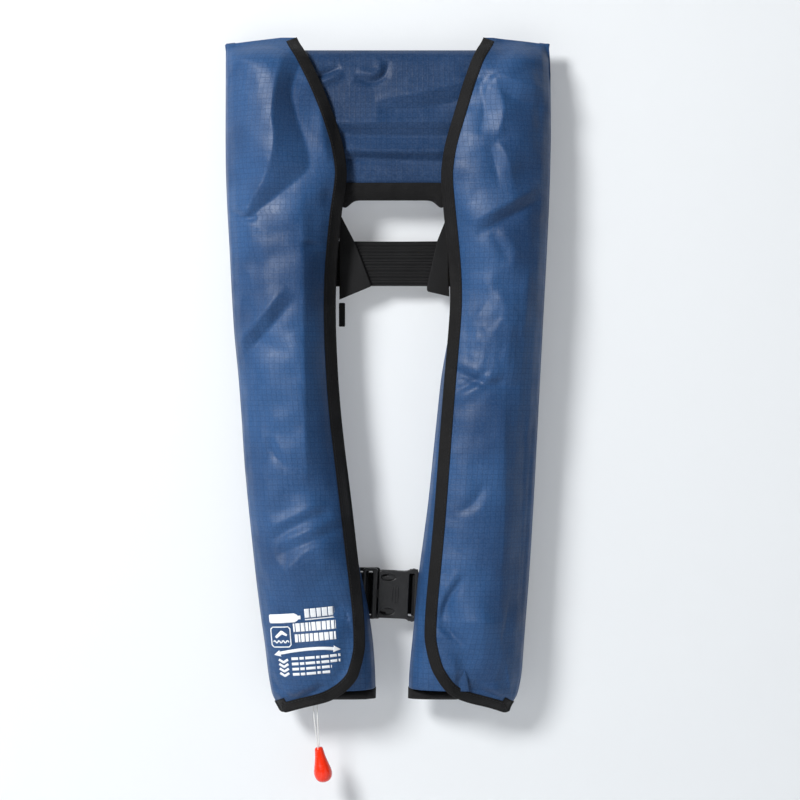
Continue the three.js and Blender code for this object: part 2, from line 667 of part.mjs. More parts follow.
function addWhistle() {
  const [x, z] = WHISTLE;
  const shape = new THREE.Shape();
  shape.moveTo(-3.5, 4);
  shape.lineTo(-8, -12);
  shape.lineTo(-8, -40);
  shape.absarc(-5, -40, 3, Math.PI, 1.5 * Math.PI);
  shape.lineTo(5, -43);
  shape.absarc(5, -40, 3, -Math.PI / 2, 0);
  shape.lineTo(8, -12);
  shape.lineTo(3.5, 4);
  shape.absarc(0, 4, 3.5, 0, Math.PI);
  const y = [HARDWARE_Y - 5.5, HARDWARE_Y + 5.5];
  const body = solid(slab(shape, ...y, 4).translate(x, 0, z));
  const hole = solid(rodY(x, z, 2.2, -60, 0, 12));
  const window = (middle) => solid(box(
    [middle - 2.2, y[0] - 1, z - 24], [middle + 2.2, HARDWARE_Y - 1, z - 19],
  ));
  const mouth = solid(box([x - 6, HARDWARE_Y - 2.2, z - 50], [x + 6, HARDWARE_Y + 1.4, z - 21]));
  const whistle = body.subtract(hole).subtract(window(x - 4)).subtract(window(x + 4));
  add(plastic("whistle", 0xf0741c), whistle.subtract(mouth));
}

function addWhistleCord() {
  const [x, z] = WHISTLE;
  const loop = new THREE.TorusGeometry(TUBE_RADIUS + 1.6, 1, 6, 18).translate(ORAL_X, HARDWARE_Y, z);
  const start = ORAL_X + TUBE_RADIUS + 1.8;
  const path = [
    [start, HARDWARE_Y, z], [start + 4, HARDWARE_Y - 5, z + 4], [x - 5, HARDWARE_Y - 8.6, z + 3],
    [x, HARDWARE_Y - 7.4, z], [x, HARDWARE_Y, z], [x, HARDWARE_Y + 7.4, z],
  ];
  add(cloth("whistle_cord", 0xe8e8e4), solid(loop).add(solid(cord(path, 1, 18))));
}

// ---- yoke strap behind the gap ----
const STRAP_TOP = -112;
const STRAP_BOTTOM = -155;

function addYokeStrap() {
  add(black("yoke_strap"), solid(box([-58, GAP, STRAP_BOTTOM], [70, GAP + 2.2, STRAP_TOP])));
  const leftPatch = polygon([
    point(-45.5, -84), point(-30, STRAP_TOP - 2), point(-14.3, STRAP_BOTTOM), point(-45.5, -168),
  ]);
  const rightPatch = polygon([
    point(59, -86), point(48.6, STRAP_TOP), point(39, STRAP_BOTTOM), point(39, -160), point(60.5, -165),
  ]);
  const patch = (outline) => solid(slab(outline, PANEL_FRONT + 0.2, -0.2)).subtract(panelZone());
  add(black("strap_patch_left"), patch(leftPatch));
  add(black("strap_patch_right"), patch(rightPatch));
  add(black("harness_tab"), solid(box([-46, GAP, -194], [-40, 2, -171])));
}

function panelZone() {
  const grown = (lobe) => solid(slab(sideOutline(lobe), PANEL_FRONT - 1, 1));
  const nudge = (lobe) => grown(lobe).translate([lobe.gapSign * GAP, 0, 0]).add(grown(lobe));
  return nudge(left).add(nudge(right));
}

// ---- belt ----
const TUNNEL_BACK = 9.4;
const TUNNEL = { left: [-112, -34], right: [76, 124] };

// A flat sleeve sewn behind a lobe, open at both ends for the belt.
function addTunnel(lobe) {
  const [west, east] = TUNNEL[lobe.side];
  const wall = 1.2;
  const outer = solid(box([west, 0.4, BELT_LEVEL - 32], [east, TUNNEL_BACK, BELT_LEVEL + 32]));
  const passage = box(
    [west - 1, 0.4 + wall, BELT_LEVEL - 27.5], [east + 1, TUNNEL_BACK - wall, BELT_LEVEL + 27.5],
  );
  add(navy(`belt_tunnel_${lobe.side}`), outer.subtract(solid(passage)));
}

// A strip of belt along a path in X and Y, standing on edge.
function beltStrip(path, thickness = BELT_THICK) {
  const half = thickness / 2;
  const side = (sign) => path.map((p, i) => {
    const before = path[Math.max(i - 1, 0)];
    const after = path[Math.min(i + 1, path.length - 1)];
    const along = after.clone().sub(before).normalize();
    return point(p.x - sign * half * along.y, p.y + sign * half * along.x);
  });
  const shape = polygon([...side(1), ...side(-1).reverse()]);
  return solid(post(shape, BELT_LEVEL - BELT_WIDTH / 2, BELT_LEVEL + BELT_WIDTH / 2));
}

function arc(x, y, radius, from, to, steps) {
  const points = [];
  for (let i = 0; i <= steps; i++) {
    const angle = THREE.MathUtils.lerp(from, to, i / steps);
    points.push(point(x + radius * Math.cos(angle), y + radius * Math.sin(angle)));
  }
  return points;
}

const MALE_BAR_X = -22;
const FEMALE_BAR_X = 28.6;
const FOLD_RADIUS = (BELT_BACK_Y - BELT_FRONT_Y) / 2;
const FOLD_Y = (BELT_BACK_Y + BELT_FRONT_Y) / 2;

function addWaistBelt() {
  const path = [
    point(MALE_BAR_X - 8, BELT_FRONT_Y),
    ...arc(BELT_FOLD_WEST, FOLD_Y, FOLD_RADIUS, -Math.PI / 2, -1.5 * Math.PI, 6),
    ...arc(BELT_FOLD_EAST, FOLD_Y, FOLD_RADIUS, Math.PI / 2, -Math.PI / 2, 6),
    point(BELT_FOLD_EAST - 8, BELT_FRONT_Y),
  ];
  const loop = barLoop(MALE_BAR_X, -1, 3.9);
  add(black("waist_belt"), beltStrip(path).add(loop));
}

// The belt doubled round a buckle bar: sign is the side on which the belt leaves it.
function barLoop(x, sign, radius) {
  const away = sign > 0 ? 0 : Math.PI;
  const turn = arc(x, BELT_FRONT_Y, radius, away + 0.35 * Math.PI, away + 1.65 * Math.PI, 10);
  const join = point(x + sign * 8, BELT_FRONT_Y + sign * 0.75);
  const joinBack = point(x + sign * 8, BELT_FRONT_Y - sign * 0.75);
  const ends = [point(x + sign * 26, BELT_FRONT_Y + sign * 0.75), join];
  const back = [joinBack, point(x + sign * 26, BELT_FRONT_Y - sign * 0.75)];
  return beltStrip([...ends, ...turn, ...back]);
}

// ---- side-release buckle, drawn about its own middle ----
const BUCKLE_X = 3.35;
const MALE_WEST = -23.6 - BUCKLE_X;
const FEMALE_WEST = -8 - BUCKLE_X;
const FEMALE_EAST = 30.3 - BUCKLE_X;
const BUCKLE_HALF_THICK = 5.5;
const PRONG_Z = 15;
const PRONG_ROOT_X = FEMALE_WEST + 2.4;

const buckle = new THREE.Group();
buckle.position.set(BUCKLE_X, BELT_FRONT_Y, BELT_LEVEL);
buckle.rotation.y = BUCKLE_TILT;
assembly.add(buckle);

// The belt end on the female half is drawn with the buckle, so that it tilts with it.
function addFemaleBelt() {
  const run = beltStrip([point(FEMALE_BAR_X + 8, BELT_FRONT_Y), point(78, BELT_FRONT_Y)]);
  const end = run.add(barLoop(FEMALE_BAR_X, 1, 3.5));
  add(black("belt_end_right"), end.translate([-BUCKLE_X, -BELT_FRONT_Y, -BELT_LEVEL]), buckle);
}

function addBuckleFemale() {
  const outline = new THREE.Shape();
  outline.moveTo(FEMALE_WEST, -21);
  outline.lineTo(FEMALE_WEST + 2, -23);
  outline.lineTo(FEMALE_EAST - 14, -23);
  outline.quadraticCurveTo(FEMALE_EAST - 9, -23, FEMALE_EAST - 5, -25.5);
  outline.absarc(FEMALE_EAST - 4, -22, 4, -Math.PI / 2, 0);
  outline.lineTo(FEMALE_EAST, 22);
  outline.absarc(FEMALE_EAST - 4, 22, 4, 0, Math.PI / 2);
  outline.lineTo(FEMALE_EAST - 5, 25.5);
  outline.quadraticCurveTo(FEMALE_EAST - 9, 23, FEMALE_EAST - 14, 23);
  outline.lineTo(FEMALE_WEST + 2, 23);
  outline.lineTo(FEMALE_WEST, 21);
  const shell = solid(slab(outline, -BUCKLE_HALF_THICK, BUCKLE_HALF_THICK, 4));
  const cavity = solid(box([FEMALE_WEST - 1, -3.7, -20.8], [FEMALE_WEST + 23.5, 3.7, 20.8]));
  const slotEast = FEMALE_EAST - 3.4;
  const slot = solid(box([slotEast - 5.5, -10, -21], [slotEast, 10, 21]));
  const thinBar = [-1, 1].map((side) => solid(box(
    [slotEast - 1, side > 0 ? 1.8 : -10, -21], [FEMALE_EAST + 1, side > 0 ? 10 : -1.8, 21],
  )));
  const sideOpening = (sign) => solid(box(
    [FEMALE_WEST + 4, -3.7, sign > 0 ? 20 : -30], [FEMALE_WEST + 17, 3.7, sign > 0 ? 30 : -20],
  ));
  const oval = (sign) => solid(slab(ovalShape(), -10, -3).translate(FEMALE_WEST + 9, 0, sign * 16.5));
  const body = shell.subtract(cavity).subtract(slot)
    .subtract(thinBar[0]).subtract(thinBar[1])
    .subtract(sideOpening(1)).subtract(sideOpening(-1))
    .subtract(oval(1)).subtract(oval(-1));
  add(plastic("buckle_female", 0x1b1b1c), body, buckle);
}

function ovalShape() {
  return new THREE.Shape().absellipse(0, 0, 7, 3.2, 0, 2 * Math.PI);
}

function addBuckleMale() {
  const plate = solid(slab(roundedBar(14.6, 49, 3), -4.6, 4.6, 3).translate(MALE_WEST + 7.3, 0, 0));
  const slot = solid(box([MALE_WEST + 3.2, -10, -22], [MALE_WEST + 9.4, 10, 22]));
  const thinBar = [-1, 1].map((side) => solid(box(
    [MALE_WEST - 1, side > 0 ? 1.8 : -10, -22], [MALE_WEST + 5, side > 0 ? 10 : -1.8, 22],
  )));
  const guide = solid(box([MALE_WEST + 13, -2.8, -3.5], [FEMALE_WEST + 20, 2.8, 3.5]));
  const body = plate.subtract(slot).subtract(thinBar[0]).subtract(thinBar[1]).add(guide);
  add(plastic("buckle_male", 0x1b1b1c), body, buckle);
}

// A springy prong with a barb that catches in the side opening; sign is +1 for the upper one.
function addProng(name, sign) {
  const shape = new THREE.Shape();
  shape.moveTo(0, -2);
  shape.lineTo(14, -1);
  shape.lineTo(18, -1);
  shape.quadraticCurveTo(19, 2, 14, 5.2);
  shape.quadraticCurveTo(9, 8.4, 6, 6);
  shape.lineTo(5, 2);
  shape.lineTo(0, 2);
  shape.absarc(0, 0, 2, Math.PI / 2, 1.5 * Math.PI);
  const prong = slab(shape, -2.8, 2.8, 4);
  if (sign < 0) prong.rotateX(Math.PI);
  prong.translate(PRONG_ROOT_X, 0, sign * PRONG_Z);
  add(plastic(name, 0x1b1b1c), solid(prong), buckle);
}

// ---- belt adjuster behind the jacket ----
const ADJUSTER_X = -20;
const ADJUSTER_BACK = BELT_BACK_Y + 1.5 * BELT_THICK + 0.7;

function addAdjuster() {
  const frame = solid(slab(roundedBar(28, 50, 3), ADJUSTER_BACK, ADJUSTER_BACK + 3, 3));
  const slot = (x) => solid(box([x - 3.6, 0, -21.5], [x + 3.6, 40, 21.5]));
  const body = frame.subtract(slot(-6.2)).subtract(slot(6.2)).translate([ADJUSTER_X, 0, BELT_LEVEL]);
  add(plastic("belt_adjuster", 0x1b1b1c), body);
}

// The tail climbs through one slot, crosses the middle bar and goes back through the other.
function addBeltTail() {
  const low = BELT_BACK_Y + BELT_THICK + GAP;
  const high = ADJUSTER_BACK + 3 + GAP + BELT_THICK / 2;
  const path = [
    point(ADJUSTER_X - 78, low), point(ADJUSTER_X - 8, low), point(ADJUSTER_X - 5.4, high - 0.8),
    point(ADJUSTER_X - 3.4, high), point(ADJUSTER_X + 3.4, high), point(ADJUSTER_X + 5.4, high - 0.8),
    point(ADJUSTER_X + 7.8, low),
  ];
  add(black("belt_tail"), beltStrip(path));
}

addBackPanel();
for (const lobe of [left, right]) {
  addFront(lobe);
  addUnderFlap(lobe);
  addClosure(lobe);
  addTunnel(lobe);
}
addCollar();
addBladder();
addReflectiveTape(left, -117, -104);
addReflectiveTape(right, 108, 124);
addManifold();
addInflatorBody();
addCapNut();
addLever();
addPiercingPin();
addCylinder();
addPullCord();
addToggle();
addOralTube();
addOralValve();
addWhistle();
addWhistleCord();
addYokeStrap();
addWaistBelt();
addFemaleBelt();
addBuckleFemale();
addBuckleMale();
addProng("buckle_prong_upper", 1);
addProng("buckle_prong_lower", -1);
addAdjuster();
addBeltTail();

export default assembly;
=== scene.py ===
import json
import math

import bmesh
import bpy
import numpy as np
from mathutils import Matrix, Vector, noise
from mathutils.bvhtree import BVHTree


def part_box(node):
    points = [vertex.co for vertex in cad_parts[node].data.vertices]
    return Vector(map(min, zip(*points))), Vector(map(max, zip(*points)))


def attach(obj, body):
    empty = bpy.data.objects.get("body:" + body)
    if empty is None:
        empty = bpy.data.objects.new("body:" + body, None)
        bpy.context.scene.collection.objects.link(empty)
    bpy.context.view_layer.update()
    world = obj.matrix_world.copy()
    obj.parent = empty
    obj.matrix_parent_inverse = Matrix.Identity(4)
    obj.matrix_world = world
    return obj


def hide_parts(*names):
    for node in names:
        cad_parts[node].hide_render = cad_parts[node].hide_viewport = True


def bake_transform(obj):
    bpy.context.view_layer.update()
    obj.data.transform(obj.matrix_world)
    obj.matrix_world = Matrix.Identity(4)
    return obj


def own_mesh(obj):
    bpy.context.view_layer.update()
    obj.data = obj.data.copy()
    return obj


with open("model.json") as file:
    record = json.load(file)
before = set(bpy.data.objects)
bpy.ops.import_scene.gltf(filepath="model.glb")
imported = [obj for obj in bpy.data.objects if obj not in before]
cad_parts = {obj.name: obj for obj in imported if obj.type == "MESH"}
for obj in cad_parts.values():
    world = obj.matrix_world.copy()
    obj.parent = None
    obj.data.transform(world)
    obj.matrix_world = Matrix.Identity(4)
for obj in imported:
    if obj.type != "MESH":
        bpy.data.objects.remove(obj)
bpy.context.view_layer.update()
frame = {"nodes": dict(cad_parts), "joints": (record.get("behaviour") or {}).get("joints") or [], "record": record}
MM = 0.001
HEM_Y = -3.0  # where a sheet lies at its wall edge, and in rows where a ray finds nothing
BODY_OF = {node: body for body, nodes in frame["record"]["behaviour"]["bodies"].items() for node in nodes}


# ---- measuring the frame ----
def box(node):
    """Lowest and highest corner of a CAD node, in mm."""
    low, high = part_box(node)
    return np.array(low) / MM, np.array(high) / MM


def middle(node):
    low, high = box(node)
    return (low + high) / 2


def joint_named(name):
    return next(joint for joint in frame["joints"] if joint["name"] == name)


def vertices_of(nodes):
    """Vertices and triangles of several CAD nodes together, in mm."""
    points, faces = [], []
    for name in nodes:
        mesh = frame["nodes"][name].data
        start = len(points)
        points += [v.co / MM for v in mesh.vertices]
        faces += [[start + i for i in p.vertices] for p in mesh.polygons]
    return points, faces


def slices(nodes, heights):
    """Lowest and highest x of some nodes at each height; nan where they have nothing."""
    points, faces = vertices_of(nodes)
    points = np.array(points)
    pairs = np.array([(f[i], f[i - 1]) for f in faces for i in range(len(f))])
    a, b = points[pairs[:, 0]], points[pairs[:, 1]]
    low, high = [], []
    for z in heights:
        crossing = (a[:, 2] - z) * (b[:, 2] - z) < 0
        pa, pb = a[crossing], b[crossing]
        share = (z - pa[:, 2]) / (pb[:, 2] - pa[:, 2])
        x = pa[:, 0] + share * (pb[:, 0] - pa[:, 0])
        low.append(x.min() if len(x) else np.nan)
        high.append(x.max() if len(x) else np.nan)
    return np.array(low), np.array(high)


def ray_depths(nodes, x, z):
    """y of the front surface of some nodes at points (x, z); nan where a ray finds nothing."""
    tree = BVHTree.FromPolygons(*vertices_of(nodes))
    found = np.full(x.shape, np.nan)
    for index in np.ndindex(x.shape):
        hit = tree.ray_cast(Vector((x[index], -300, z[index])), Vector((0, 1, 0)))[0]
        if hit is not None:
            found[index] = hit.y
    return found


def smoothed(values, sigma, axis=0):
    """Gaussian blur of an array along one axis, with the ends held."""
    reach = int(3 * sigma) + 1
    kernel = np.exp(-0.5 * (np.arange(-reach, reach + 1) / sigma) ** 2)
    kernel /= kernel.sum()
    moved = np.moveaxis(values, axis, 0)
    padded = np.concatenate([moved[:1]] * reach + [moved] + [moved[-1:]] * reach)
    result = sum(k * padded[i : i + len(moved)] for i, k in enumerate(kernel))
    return np.moveaxis(result, 0, axis)


def softened(values, down, across):
    """Blurs an array down its rows, then across its columns."""
    return smoothed(smoothed(values, down, 0), across, 1)


def filled(row):
    """A row with its missing values filled in from their neighbours."""
    good = ~np.isnan(row)
    if not good.any():
        return np.full(row.shape, HEM_Y)
    return np.interp(np.arange(len(row)), np.flatnonzero(good), row[good])


# ---- meshes ----
def mesh_object(name, points, faces, uv=None):
    """A mesh object from points in mm; uv is one pair per point, in metres."""
    mesh = bpy.data.meshes.new(name)
    mesh.from_pydata([tuple(float(c) * MM for c in p) for p in points], [], faces)
    mesh.update()
    if uv is not None:
        layer = mesh.uv_layers.new(name="UVMap")
        index = np.zeros(len(mesh.loops), int)
        mesh.loops.foreach_get("vertex_index", index)
        layer.data.foreach_set("uv", (np.array(uv)[index] * MM).ravel())
    mesh.shade_smooth()
    return placed(name, mesh)


def placed(name, data):
    """A new object in the scene."""
    obj = bpy.data.objects.new(name, data)
    bpy.context.scene.collection.objects.link(obj)
    return obj


def grid_faces(rows, columns, closed=False, flip=False):
    """Quads of a grid of points stored row by row; closed joins the last column to the first."""
    faces = []
    for i in range(rows - 1):
        for j in range(columns if closed else columns - 1):
            k = (j + 1) % columns
            quad = [i * columns + j, i * columns + k, (i + 1) * columns + k, (i + 1) * columns + j]
            faces.append(quad[::-1] if flip else quad)
    return faces


def grid_object(name, grid, uv=None, closed=False, flip=False):
    """A sheet from a (rows, columns, 3) array of points."""
    rows, columns = grid.shape[:2]
    flat_uv = None if uv is None else uv.reshape(-1, 2)
    faces = grid_faces(rows, columns, closed, flip)
    return mesh_object(name, grid.reshape(-1, 3), faces, flat_uv)


def outward(obj):
    """Closes a mesh and turns its faces outwards."""
    bm = bmesh.new()
    bm.from_mesh(obj.data)
    holes = [e for e in bm.edges if e.is_boundary]
    if holes:
        bmesh.ops.holes_fill(bm, edges=holes)
    bmesh.ops.recalc_face_normals(bm, faces=bm.faces)
    bm.to_mesh(obj.data)
    bm.free()
    return obj


def evaluated(obj):
    """A mesh of an object as it is with its modifiers or curve bevel applied."""
    bpy.context.view_layer.update()
    return bpy.data.meshes.new_from_object(obj.evaluated_get(bpy.context.evaluated_depsgraph_get()))


def bake(obj):
    """Applies an object's modifiers."""
    mesh = evaluated(obj)
    obj.modifiers.clear()
    obj.data = mesh
    return obj


def thicken(obj, thickness, offset=-1.0):
    """Gives a sheet its thickness in mm; offset -1 grows behind its faces."""
    made = obj.modifiers.new("thickness", "SOLIDIFY")
    made.thickness = thickness * MM
    made.offset = offset
    return bake(obj)


def bevel(obj, width, segments=2, angle=35):
    made = obj.modifiers.new("edges", "BEVEL")
    made.width = width * MM
    made.segments = segments
    made.limit_method = "ANGLE"
    made.angle_limit = math.radians(angle)
    return bake(obj)


def crisp(obj, angle=40):
    """Smooth shading that keeps real edges sharp."""
    obj.data.shade_smooth()
    obj.data.set_sharp_from_angle(angle=math.radians(angle))
    return obj


def joined(name, objects):
    """Several meshes as one object."""
    bm = bmesh.new()
    for obj in objects:
        obj.data.transform(obj.matrix_world)
        bm.from_mesh(obj.data)
    mesh = bpy.data.meshes.new(name)
    bm.to_mesh(mesh)
    bm.free()
    materials = objects[0].data.materials
    for material in materials:
        mesh.materials.append(material)
    for obj in objects:
        bpy.data.objects.remove(obj)
    return placed(name, mesh)


def lathe(name, profile, centre, axis="Z", sides=48, tilt=0.0):
    """A turned piece: profile lists (radius, height) along the axis from centre."""
    angles = np.linspace(0, 2 * math.pi, sides, endpoint=False)
    grid = np.zeros((len(profile), sides, 3))
    for i, (radius, height) in enumerate(profile):
        around = [radius * np.cos(angles), radius * np.sin(angles)]
        along = np.full(sides, float(height))
        order = {"Z": (around[0], around[1], along), "Y": (around[0], along, around[1])}[axis]
        grid[i] = np.stack(order, axis=1)
    turn = Matrix.Rotation(tilt, 3, "Y")
    grid = grid @ np.array(turn).T + np.array(centre)
    uv = np.zeros((len(profile), sides, 2))
    uv[..., 0] = np.linspace(0, 60, sides)[None, :]
    uv[..., 1] = np.array([h for _, h in profile])[:, None]
    return crisp(grid_object(name, grid, uv, closed=True, flip=axis == "Y"))


def lengths_along(points):
    """Distance from the first point of a line to each of its points."""
    return np.concatenate([[0], np.cumsum(np.linalg.norm(np.diff(points, axis=0), axis=1))])


def directions_along(points):
    """Unit directions of a line at each of its points."""
    tangent = np.gradient(points, axis=0)
    return tangent / np.linalg.norm(tangent, axis=1)[:, None]


def sampled(points, places):
    """Points of a line at the given distances from its first point."""
    along = lengths_along(points)
    return np.stack([np.interp(places, along, column) for column in points.T], axis=1)


def spline(points, count):
    """Points spread evenly along a smooth curve through the given points."""
    p = np.array(points, float)
    p = np.vstack([2 * p[0] - p[1], p, 2 * p[-1] - p[-2]])
    curve = []
    for i in range(len(p) - 3):
        t = np.linspace(0, 1, 24, endpoint=False)[:, None]
        a, b, c, d = p[i : i + 4]
        square, cube = 2 * a - 5 * b + 4 * c - d, 3 * b - a - 3 * c + d
        curve.append(0.5 * (2 * b + (c - a) * t + square * t**2 + cube * t**3))
    curve = np.vstack(curve + [p[-2:-1]])
    return sampled(curve, np.linspace(0, lengths_along(curve)[-1], count))


def tube(name, points, radius, count=80, sides=14, strands=0, depth=0.0):
    """A round cord along a smooth path; strands twist a pattern into its surface."""
    path = spline(points, count)
    tangents = directions_along(path)
    side = np.cross(tangents[0], [0.0, 0.0, 1.0])
    if np.linalg.norm(side) < 0.1:
        side = np.array([1.0, 0.0, 0.0])
    along = lengths_along(path)
    angles = np.linspace(0, 2 * math.pi, sides, endpoint=False)
    grid = np.zeros((count, sides, 3))
    uv = np.zeros((count, sides, 2))
    for i, (centre, tangent) in enumerate(zip(path, tangents)):
        side = side - tangent * (side @ tangent)
        side /= np.linalg.norm(side)
        up = np.cross(tangent, side)
        wave = np.cos(strands * angles - 1.3 * along[i] / radius) if strands else np.zeros(sides)
        r = radius - depth * (0.5 - 0.5 * wave)
        grid[i] = centre + r[:, None] * (np.cos(angles)[:, None] * side + np.sin(angles)[:, None] * up)
        uv[i, :, 0] = np.linspace(0, 2 * math.pi * radius, sides)
        uv[i, :, 1] = along[i]
    return outward(grid_object(name, grid, uv, closed=True))


def plate(name, outlines, y_front, y_back, edge=0.6):
    """A flat moulded plate: the first outline is its border in x and z, the others are holes."""
    curve = bpy.data.curves.new(name, "CURVE")
    curve.dimensions = "2D"
    curve.fill_mode = "BOTH"
    curve.extrude = ((y_back - y_front) / 2 - edge) * MM
    curve.bevel_depth = edge * MM
    curve.bevel_resolution = 3
    curve.offset = -edge * MM
    for outline in outlines:
        line = curve.splines.new("POLY")
        line.points.add(len(outline) - 1)
        for spot, (x, z) in zip(line.points, outline):
            spot.co = (x * MM, z * MM, 0, 1)
        line.use_cyclic_u = True
    obj = placed(name, curve)
    mesh = evaluated(obj)
    bpy.data.objects.remove(obj)
    shift = Matrix.Translation((0, (y_front + y_back) / 2 * MM, 0))
    mesh.transform(shift @ Matrix.Rotation(math.pi / 2, 4, "X"))
    return crisp(placed(name, mesh), 30)


def rounded(x0, z0, x1, z1, radius, steps=6):
    """Outline of a rounded rectangle."""
    points = []
    corners = [(x1, z0, -90), (x1, z1, 0), (x0, z1, 90), (x0, z0, 180)]
    for x, z, start in corners:
        cx = x - radius if x == x1 else x + radius
        cz = z - radius if z == z1 else z + radius
        for i in range(steps + 1):
            angle = math.radians(start + 90 * i / steps)
            points.append((cx + radius * math.cos(angle), cz + radius * math.sin(angle)))
    return points


def oval(x, z, rx, rz, steps=28):
    turn = [2 * math.pi * i / steps for i in range(steps)]
    return [(x + rx * math.cos(a), z + rz * math.sin(a)) for a in turn]


# ---- materials ----
def shader_node(tree, kind, inputs=None, **settings):
    """A shader node with its settings, and each input set to a value or joined to a socket."""
    made = tree.nodes.new(kind)
    for key, value in settings.items():
        setattr(made, key, value)
    for key, value in (inputs or {}).items():
        if isinstance(value, bpy.types.NodeSocket):
            tree.links.new(value, made.inputs[key])
        else:
            made.inputs[key].default_value = value
    return made


def maths(tree, operation, a, b=0.0, c=0.0):
    return shader_node(tree, "ShaderNodeMath", {0: a, 1: b, 2: c}, operation=operation).outputs[0]


def uv_parts(tree):
    """The two UV coordinates, in metres."""
    place = shader_node(tree, "ShaderNodeUVMap", uv_map="UVMap").outputs[0]
    split = shader_node(tree, "ShaderNodeSeparateXYZ", {0: place})
    return split.outputs[0], split.outputs[1]


def object_point(tree):
    return shader_node(tree, "ShaderNodeTexCoord").outputs["Object"]


def noise_value(tree, place, scale, detail=3.0, roughness=0.5):
    inputs = {"Vector": place, "Scale": scale, "Detail": detail, "Roughness": roughness}
    return shader_node(tree, "ShaderNodeTexNoise", inputs).outputs["Fac"]


def ranged(tree, value, low, high, to_low, to_high):
    inputs = {"Value": value, "From Min": low, "From Max": high, "To Min": to_low, "To Max": to_high}
    return shader_node(tree, "ShaderNodeMapRange", inputs).outputs["Result"]


def mixed(tree, share, a, b):
    made = tree.nodes.new("ShaderNodeMix")
    made.data_type = "RGBA"
    for index, value in ((0, share), (6, a), (7, b)):
        if isinstance(value, bpy.types.NodeSocket):
            tree.links.new(value, made.inputs[index])
        elif index == 0:
            made.inputs[0].default_value = value
        else:
            made.inputs[index].default_value = (*value, 1.0)
    return made.outputs[2]


def wave(tree, value, pitch):
    """0 to 1 and back, once per pitch in mm."""
    turned = maths(tree, "MULTIPLY", value, 2 * math.pi / (pitch * MM))
    return maths(tree, "MULTIPLY_ADD", maths(tree, "COSINE", turned), 0.5, 0.5)


def thin_line(tree, value, pitch, width):
    """1 on lines of the given width, once per pitch, both in mm."""
    share = maths(tree, "PINGPONG", maths(tree, "DIVIDE", value, pitch * MM), 0.5)
    return ranged(tree, share, 0.0, width / pitch, 1.0, 0.0)


def bumped(tree, height, depth, under=None, strength=1.0):
    """A bump of the given depth in mm, on top of another bump if there is one."""
    inputs = {"Height": height, "Distance": depth * MM, "Strength": strength}
    if under is not None:
        inputs["Normal"] = under
    return shader_node(tree, "ShaderNodeBump", inputs).outputs["Normal"]


def surface(name, build, *values, slot=None):
    """A material whose Principled inputs come from build, with the record slot that it belongs to."""
    material = bpy.data.materials.new(name)
    material.use_nodes = True
    tree = material.node_tree
    shader = tree.nodes["Principled BSDF"]
    for key, value in build(tree, *values).items():
        if isinstance(value, bpy.types.NodeSocket):
            tree.links.new(value, shader.inputs[key])
        elif key in ("Base Color", "Sheen Tint"):
            shader.inputs[key].default_value = (*value, 1.0)
        else:
            shader.inputs[key].default_value = value
    return material, slot or name


def ripstop(tree, light, dark, gloss=0.5):
    """Woven nylon with a grid of thicker threads and faint pale specks. Its colour moves between a lit and a
    shaded copy in random patches of painted shade, which stand in for the shading of folds.
    """
    u, v = uv_parts(tree)
    place = object_point(tree)
    lines = maths(tree, "MAXIMUM", thin_line(tree, u, 5.0, 0.5), thin_line(tree, v, 5.0, 0.5))
    weave = maths(tree, "MULTIPLY", wave(tree, u, 0.9), wave(tree, v, 0.9))
    painted_shade_noise = noise_value(tree, place, 14, 4)
    specks = noise_value(tree, place, 700, 2)
    # painted shade: random patches between the dark and the light colour, standing in for the shading of folds
    shade = ranged(tree, painted_shade_noise, 0.36, 0.6, 0.0, 1.0)
    color = mixed(tree, shade, dark, light)
    color = mixed(tree, maths(tree, "MULTIPLY", lines, 0.45), color, tuple(0.55 * c for c in dark))
    color = mixed(tree, ranged(tree, specks, 0.4, 0.7, 0.0, 0.05), color, (0.3, 0.42, 0.65))
    crumple = bumped(tree, noise_value(tree, place, 110, 3, 0.6), 0.22)
    threads = bumped(tree, lines, 0.06, crumple)
    normal = bumped(tree, weave, 0.05, threads, 0.6)
    rough = ranged(tree, noise_value(tree, place, 60, 3), 0.3, 0.7, gloss - 0.07, gloss + 0.1)
    return {
        "Base Color": color,
        "Roughness": rough,
        "Normal": normal,
        "Specular IOR Level": 0.26,
        "Sheen Weight": 0.02,
        "Sheen Roughness": 0.4,
        "Sheen Tint": (0.6, 0.72, 1.0),
    }


def webbing(tree, color, across=2.2, along=1.3, depth=0.25, rough=0.7, sheen=0.02):
    """Ribbed woven tape, with painted shade in the hollows of its weave; u runs across the tape and v along it."""
    u, v = uv_parts(tree)
    place = object_point(tree)
    ribs = wave(tree, v, along)
    rows = wave(tree, u, across)
    weave = maths(tree, "ADD", maths(tree, "MULTIPLY", ribs, 0.7), maths(tree, "MULTIPLY", rows, 0.45))
    fuzz = noise_value(tree, place, 900, 3, 0.7)
    worn = ranged(tree, noise_value(tree, place, 40, 4), 0.4, 0.75, 0.0, 0.5)
    pale = tuple(min(1.0, 2.0 * c + 0.002) for c in color)
    tone = mixed(tree, maths(tree, "MULTIPLY", fuzz, 0.5), color, pale)
    tone = mixed(tree, worn, tone, pale)
    # painted shade: darker where the weave is low
    tone = mixed(tree, ranged(tree, weave, 0.0, 0.5, 0.55, 0.0), tone, tuple(0.3 * c for c in color))
    normal = bumped(tree, weave, depth, bumped(tree, fuzz, 0.12))
    return {
        "Base Color": tone,
        "Roughness": ranged(tree, fuzz, 0.3, 0.7, rough - 0.1, rough + 0.1),
        "Normal": normal,
        "Specular IOR Level": 0.16,
        "Sheen Weight": sheen,
        "Sheen Roughness": 0.6,
    }


